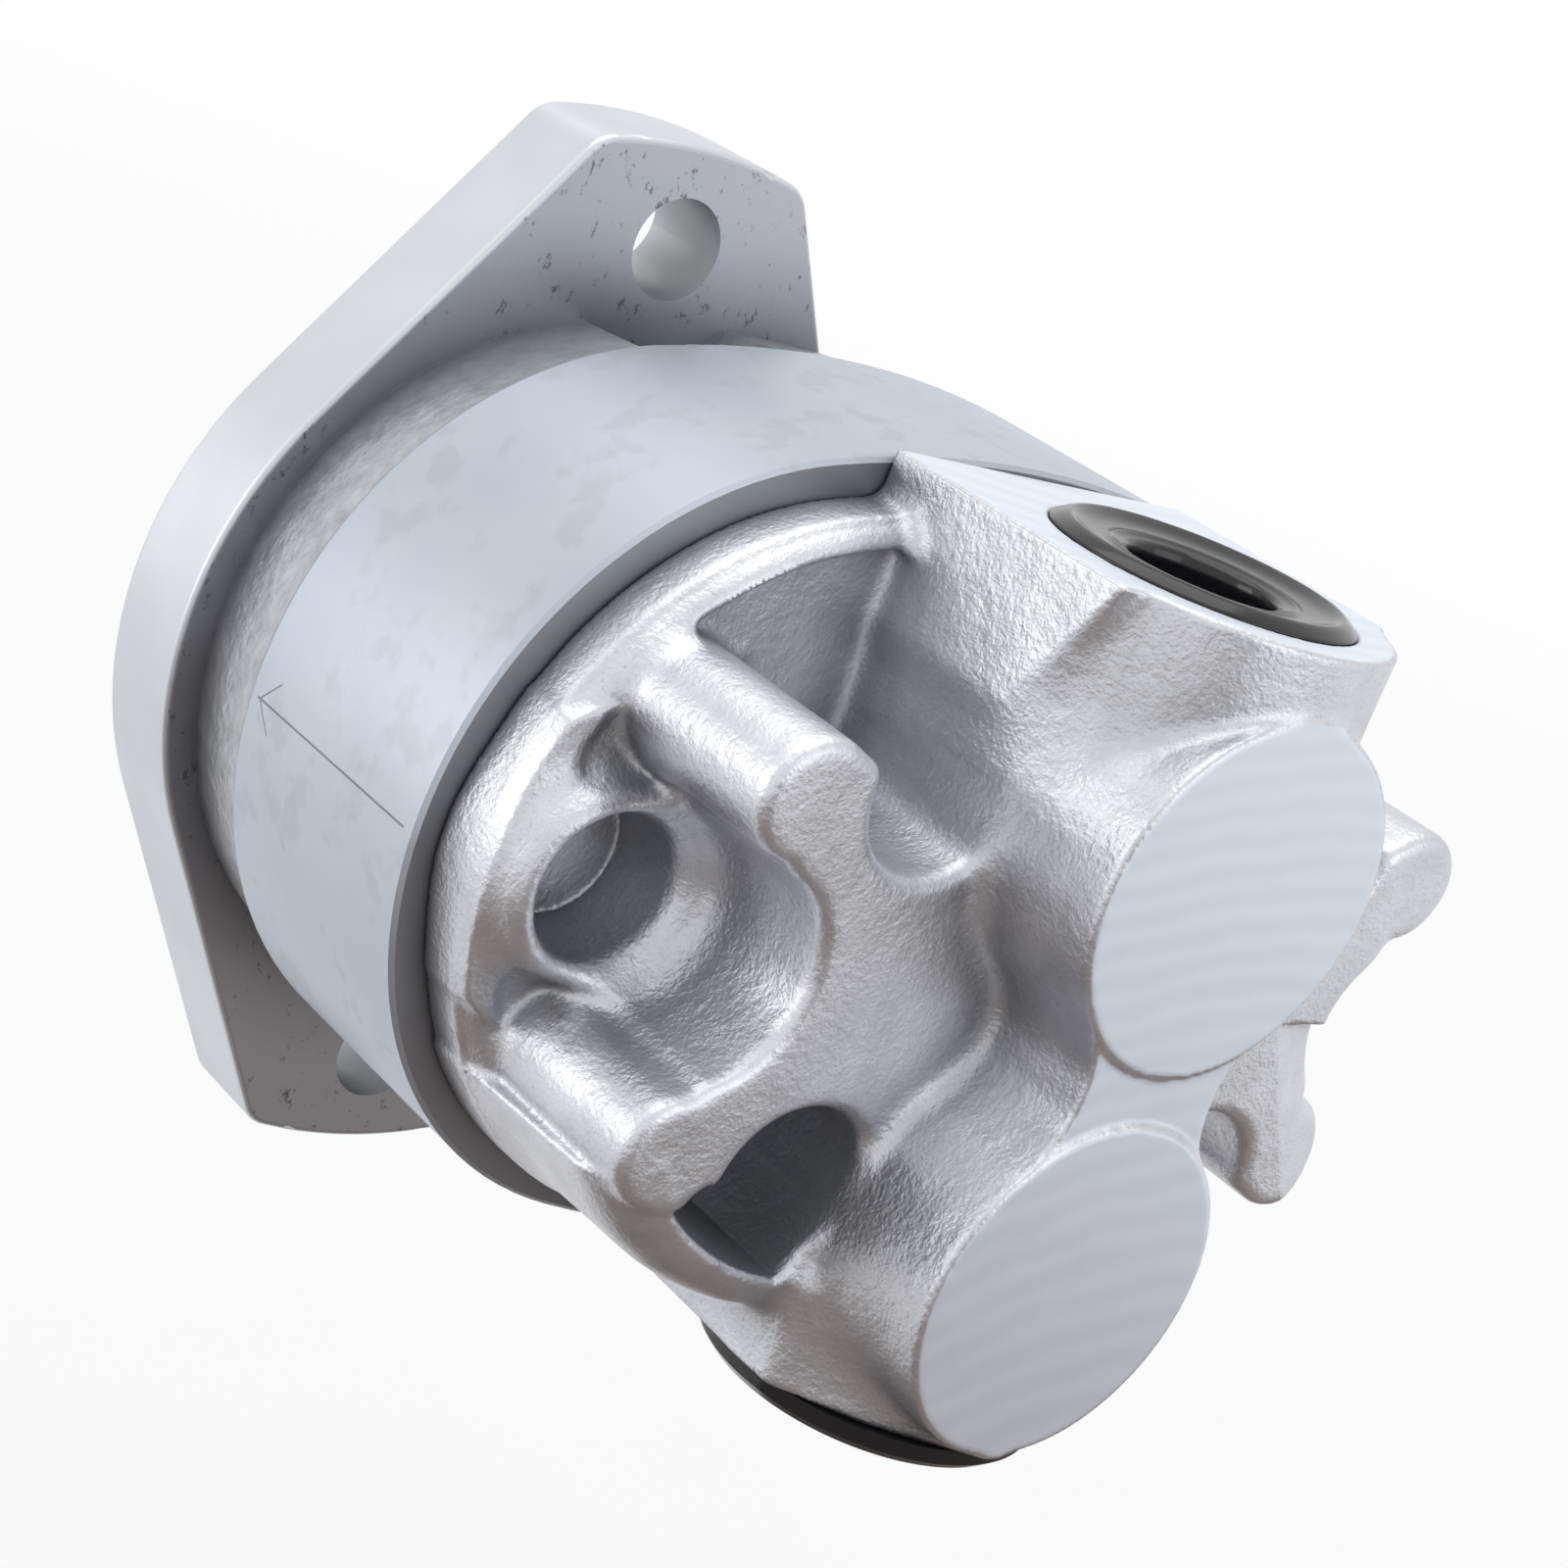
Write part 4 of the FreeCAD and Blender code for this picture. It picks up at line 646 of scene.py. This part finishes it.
def housing_material():
    """Casting with a turned body, a rough neck and a satin flange."""
    m = Material("cast_housing")
    x, depth, z = m.coordinates()
    body = m.window(depth, BODY, FAR, 0.1)
    neck = m.window(depth, NECK, BODY, 0.15)
    rearward = m.facing(Y_AXIS, -1.0, 0.9)
    flange_rear = m.both(m.window(depth, -1.0, 16.5, 0.1), rearward)
    end_face_painted_shade = m.both(m.window(depth, 60.0, FAR, 0.1), rearward)
    smooth = m.bump(m.noise(0.35, 2.0, 0.6, (1, 8, 1)), 0.006, 0.6)
    rough = m.bump(m.noise(1.4, 3.0, 0.6), 0.12)
    normal = m.mix_normals(neck, smooth, rough)
    tone = m.noise(16.0, 2.0, 0.5)
    turned = m.ramp(tone, [(0.3, (0.50, 0.53, 0.60)), (0.7, (0.54, 0.57, 0.63))])
    patches = m.ramp(m.noise(8.0, 4.0, 0.6), [(0.54, 1.0), (0.62, 0.80)])
    turned = m.mix(patches, (0.30, 0.31, 0.33), turned)
    cast = m.ramp(m.noise(3.0, 4.0, 0.6), [(0.3, (0.42, 0.43, 0.45)), (0.7, (0.60, 0.61, 0.64))])
    flange_edge = m.ramp(tone, [(0.3, (0.62, 0.64, 0.67)), (0.7, (0.68, 0.70, 0.73))])
    pores = m.ramp(m.noise(1.8, 4.0, 0.75, (1, 1, 0.6)), [(0.33, 0.2), (0.40, 1.0)])
    porous = m.mix(pores, (0.13, 0.12, 0.13), (0.50, 0.51, 0.55))
    line = m.math("MULTIPLY", scribed_line(m, x, depth, z), 0.75)
    turned = m.mix(line, turned, (0.12, 0.12, 0.13))
    colour = m.mix(body, flange_edge, turned)
    colour = m.mix(neck, colour, cast)
    colour = m.mix(flange_rear, colour, porous)
    # Painted shade: the body's rear end face round the cover gets a darker grey
    colour = m.mix(end_face_painted_shade, colour, (0.42, 0.43, 0.46))
    # Painted shade: the housing's colour is darkened in its hollows
    colour = m.recess_shade(colour, 14.0, 0.7)
    roughness = m.blend(neck, 0.42, 0.33)
    return m.finish(colour, 0.85, roughness, normal)


def plain_material(name, colour, metallic, roughness, size, height):
    """One colour with faint spots of that size, raised by that height."""
    m = Material(name)
    spots = m.noise(size, 3.0, 0.6)
    darker = tuple(0.88 * part for part in colour)
    tone = m.ramp(spots, [(0.35, darker), (0.65, colour)])
    rough = m.math("MULTIPLY_ADD", spots, 0.14, roughness - 0.07)
    return m.finish(tone, metallic, rough, m.bump(spots, height))


MATERIALS = {
    "cast_cover": cast_cover_material(),
    "cast_body": housing_material(),
    "steel": plain_material("ground_steel", (0.62, 0.63, 0.65), 1.0, 0.28, 0.7, 0.01),
    "bearing_block": plain_material("block_alloy", (0.72, 0.73, 0.75), 1.0, 0.35, 1.0, 0.01),
    "bush": plain_material("bronze", (0.60, 0.45, 0.27), 1.0, 0.35, 0.8, 0.01),
    "seal_rubber": plain_material("rubber", (0.03, 0.03, 0.03), 0.0, 0.6, 0.6, 0.02),
    "backup": plain_material("pale_strip", (0.80, 0.78, 0.70), 0.0, 0.5, 0.8, 0.01),
    "port_plastic": plain_material("black_plastic", (0.012, 0.012, 0.014), 0.0, 0.16, 1.2, 0.004),
    "dark_steel": plain_material("black_steel", (0.10, 0.10, 0.11), 1.0, 0.4, 0.6, 0.01),
}
for part in frame["record"]["subparts"]:
    node = NODES[part["node"]]
    node.data.materials.clear()
    node.data.materials.append(MATERIALS[part["material_slot"]])
cover.data.materials.append(MATERIALS["cast_cover"])
plug.data.materials.append(MATERIALS["port_plastic"])

# Camera where the photograph was taken from: its place in metres, then where it stands as
# seen from the object, and how far it is rolled, in degrees
CAMERA_PLACE = (-0.23644, -0.29917, 0.10406)
CAMERA_AZIMUTH = -134.9249
CAMERA_ELEVATION = 15.9626
CAMERA_ROLL = 21.7335


def turned_about(degrees, axis):
    return Matrix.Rotation(math.radians(degrees), 4, axis)


camera = placed("camera", bpy.data.cameras.new("camera"))
bpy.context.scene.camera = camera
camera.data.sensor_width = 36.0
camera.data.lens = 73.42
camera.data.clip_start = 0.01
camera.data.clip_end = 20.0
heading = turned_about(CAMERA_AZIMUTH + 90.0, "Z")
tilt = turned_about(90.0 - CAMERA_ELEVATION, "X")
roll = turned_about(CAMERA_ROLL, "Z")
camera.matrix_world = Matrix.Translation(CAMERA_PLACE) @ heading @ tilt @ roll


# Studio: white surroundings, a pale floor, soft lamps and two dark cards, in metres
AIM = (0.02, -0.05, 0.0)


def studio_world():
    """White for the rays that see it directly, a graded sky for the others."""
    world = bpy.data.worlds.new("studio")
    world.use_nodes = True
    n = Nodes(world.node_tree)
    white = n.add("ShaderNodeBackground")
    white.inputs["Color"].default_value = (1.0, 1.0, 1.0, 1.0)
    white.inputs["Strength"].default_value = 1.0
    upward = n.split(n.add("ShaderNodeTexCoord").outputs["Generated"])[Z_AXIS]
    shade = n.math("MULTIPLY_ADD", upward, 0.5, 0.5)
    sky = n.ramp(shade, [(0.2, (0.42, 0.36, 0.33)), (0.45, (0.62, 0.64, 0.68)),
                         (0.75, (0.95, 0.98, 1.05))])
    room = n.add("ShaderNodeBackground")
    n.link(sky, room.inputs["Color"])
    room.inputs["Strength"].default_value = 0.6
    both = n.mixed_shaders(n.direct_rays(), room.outputs[0], white.outputs[0])
    n.link(both, n.add("ShaderNodeOutputWorld").inputs[0])
    return world


def pale_floor(height, half=8.0):
    """A wide floor, white to camera, gloss and glass, that keeps a soft shadow."""
    mesh = bpy.data.meshes.new("floor")
    corners = [(-half, -half, height), (half, -half, height), (half, half, height),
               (-half, half, height)]
    mesh.from_pydata(corners, [], [(0, 1, 2, 3)])
    thing = placed("floor", mesh)
    m = Material("pale_floor")
    m.finish(m.ramp(m.noise(30.0, 2.0, 0.5), [(0.3, 0.84), (0.7, 0.86)]), 0.0, 0.9)
    glow = m.add("ShaderNodeEmission")
    away = m.add("ShaderNodeVectorMath", operation="LENGTH")
    m.link(m.place, away.inputs[0])
    whiter_far_off = m.math("MULTIPLY_ADD", away.outputs["Value"], 0.1, 0.82, clamp=True)
    share = m.math("MULTIPLY", m.direct_rays(), whiter_far_off)
    m.link(m.mixed_shaders(share, m.surface.outputs[0], glow.outputs[0]), m.output.inputs[0])
    mesh.materials.append(m.material)


def lamp(name, place, size, power, colour=(1.0, 1.0, 1.0)):
    """A soft rectangular lamp, aimed at the pump."""
    data = bpy.data.lights.new(name, "AREA")
    data.shape = "RECTANGLE"
    data.size, data.size_y = size
    data.energy = power
    data.color = colour
    thing = placed(name, data)
    thing.location = place
    way = Vector(AIM) - Vector(place)
    thing.rotation_euler = way.to_track_quat("-Z", "Y").to_euler()


def card(name, centre, across, upward, colour):
    """A flat sheet that shades and colours what the metal reflects."""
    centre, across, upward = Vector(centre), Vector(across), Vector(upward)
    corners = [centre + a * across + b * upward for a, b in ((-1, -1), (1, -1), (1, 1), (-1, 1))]
    mesh = bpy.data.meshes.new(name)
    mesh.from_pydata([tuple(c) for c in corners], [], [(0, 1, 2, 3)])
    thing = placed(name, mesh)
    mesh.materials.append(plain_material(name, colour, 0.0, 0.8, 40.0, 0.0))
    thing.visible_camera = False
    thing.visible_shadow = False


bpy.context.scene.view_settings.view_transform = "Standard"
bpy.context.scene.world = studio_world()
pale_floor(-0.17)
lamp("top_softbox", (-0.1, 0.1, 0.9), size=(0.9, 0.9), power=3.2)
lamp("left_softbox", (-0.9, 0.4, -0.05), size=(0.5, 0.8), power=2.6)
lamp("rear_fill", (0.2, -1.0, 0.3), size=(0.8, 0.5), power=1.2, colour=(0.95, 0.98, 1.0))
card("floor_card", (0.0, -0.27, -0.16), across=(0.35, 0.0, 0.0), upward=(0.0, 0.25, 0.0),
     colour=(0.34, 0.28, 0.24))
card("rear_card", (-0.13, -0.62, -0.10), across=(0.13, -0.02, 0.0), upward=(0.0, 0.0, 0.16),
     colour=(0.14, 0.12, 0.11))
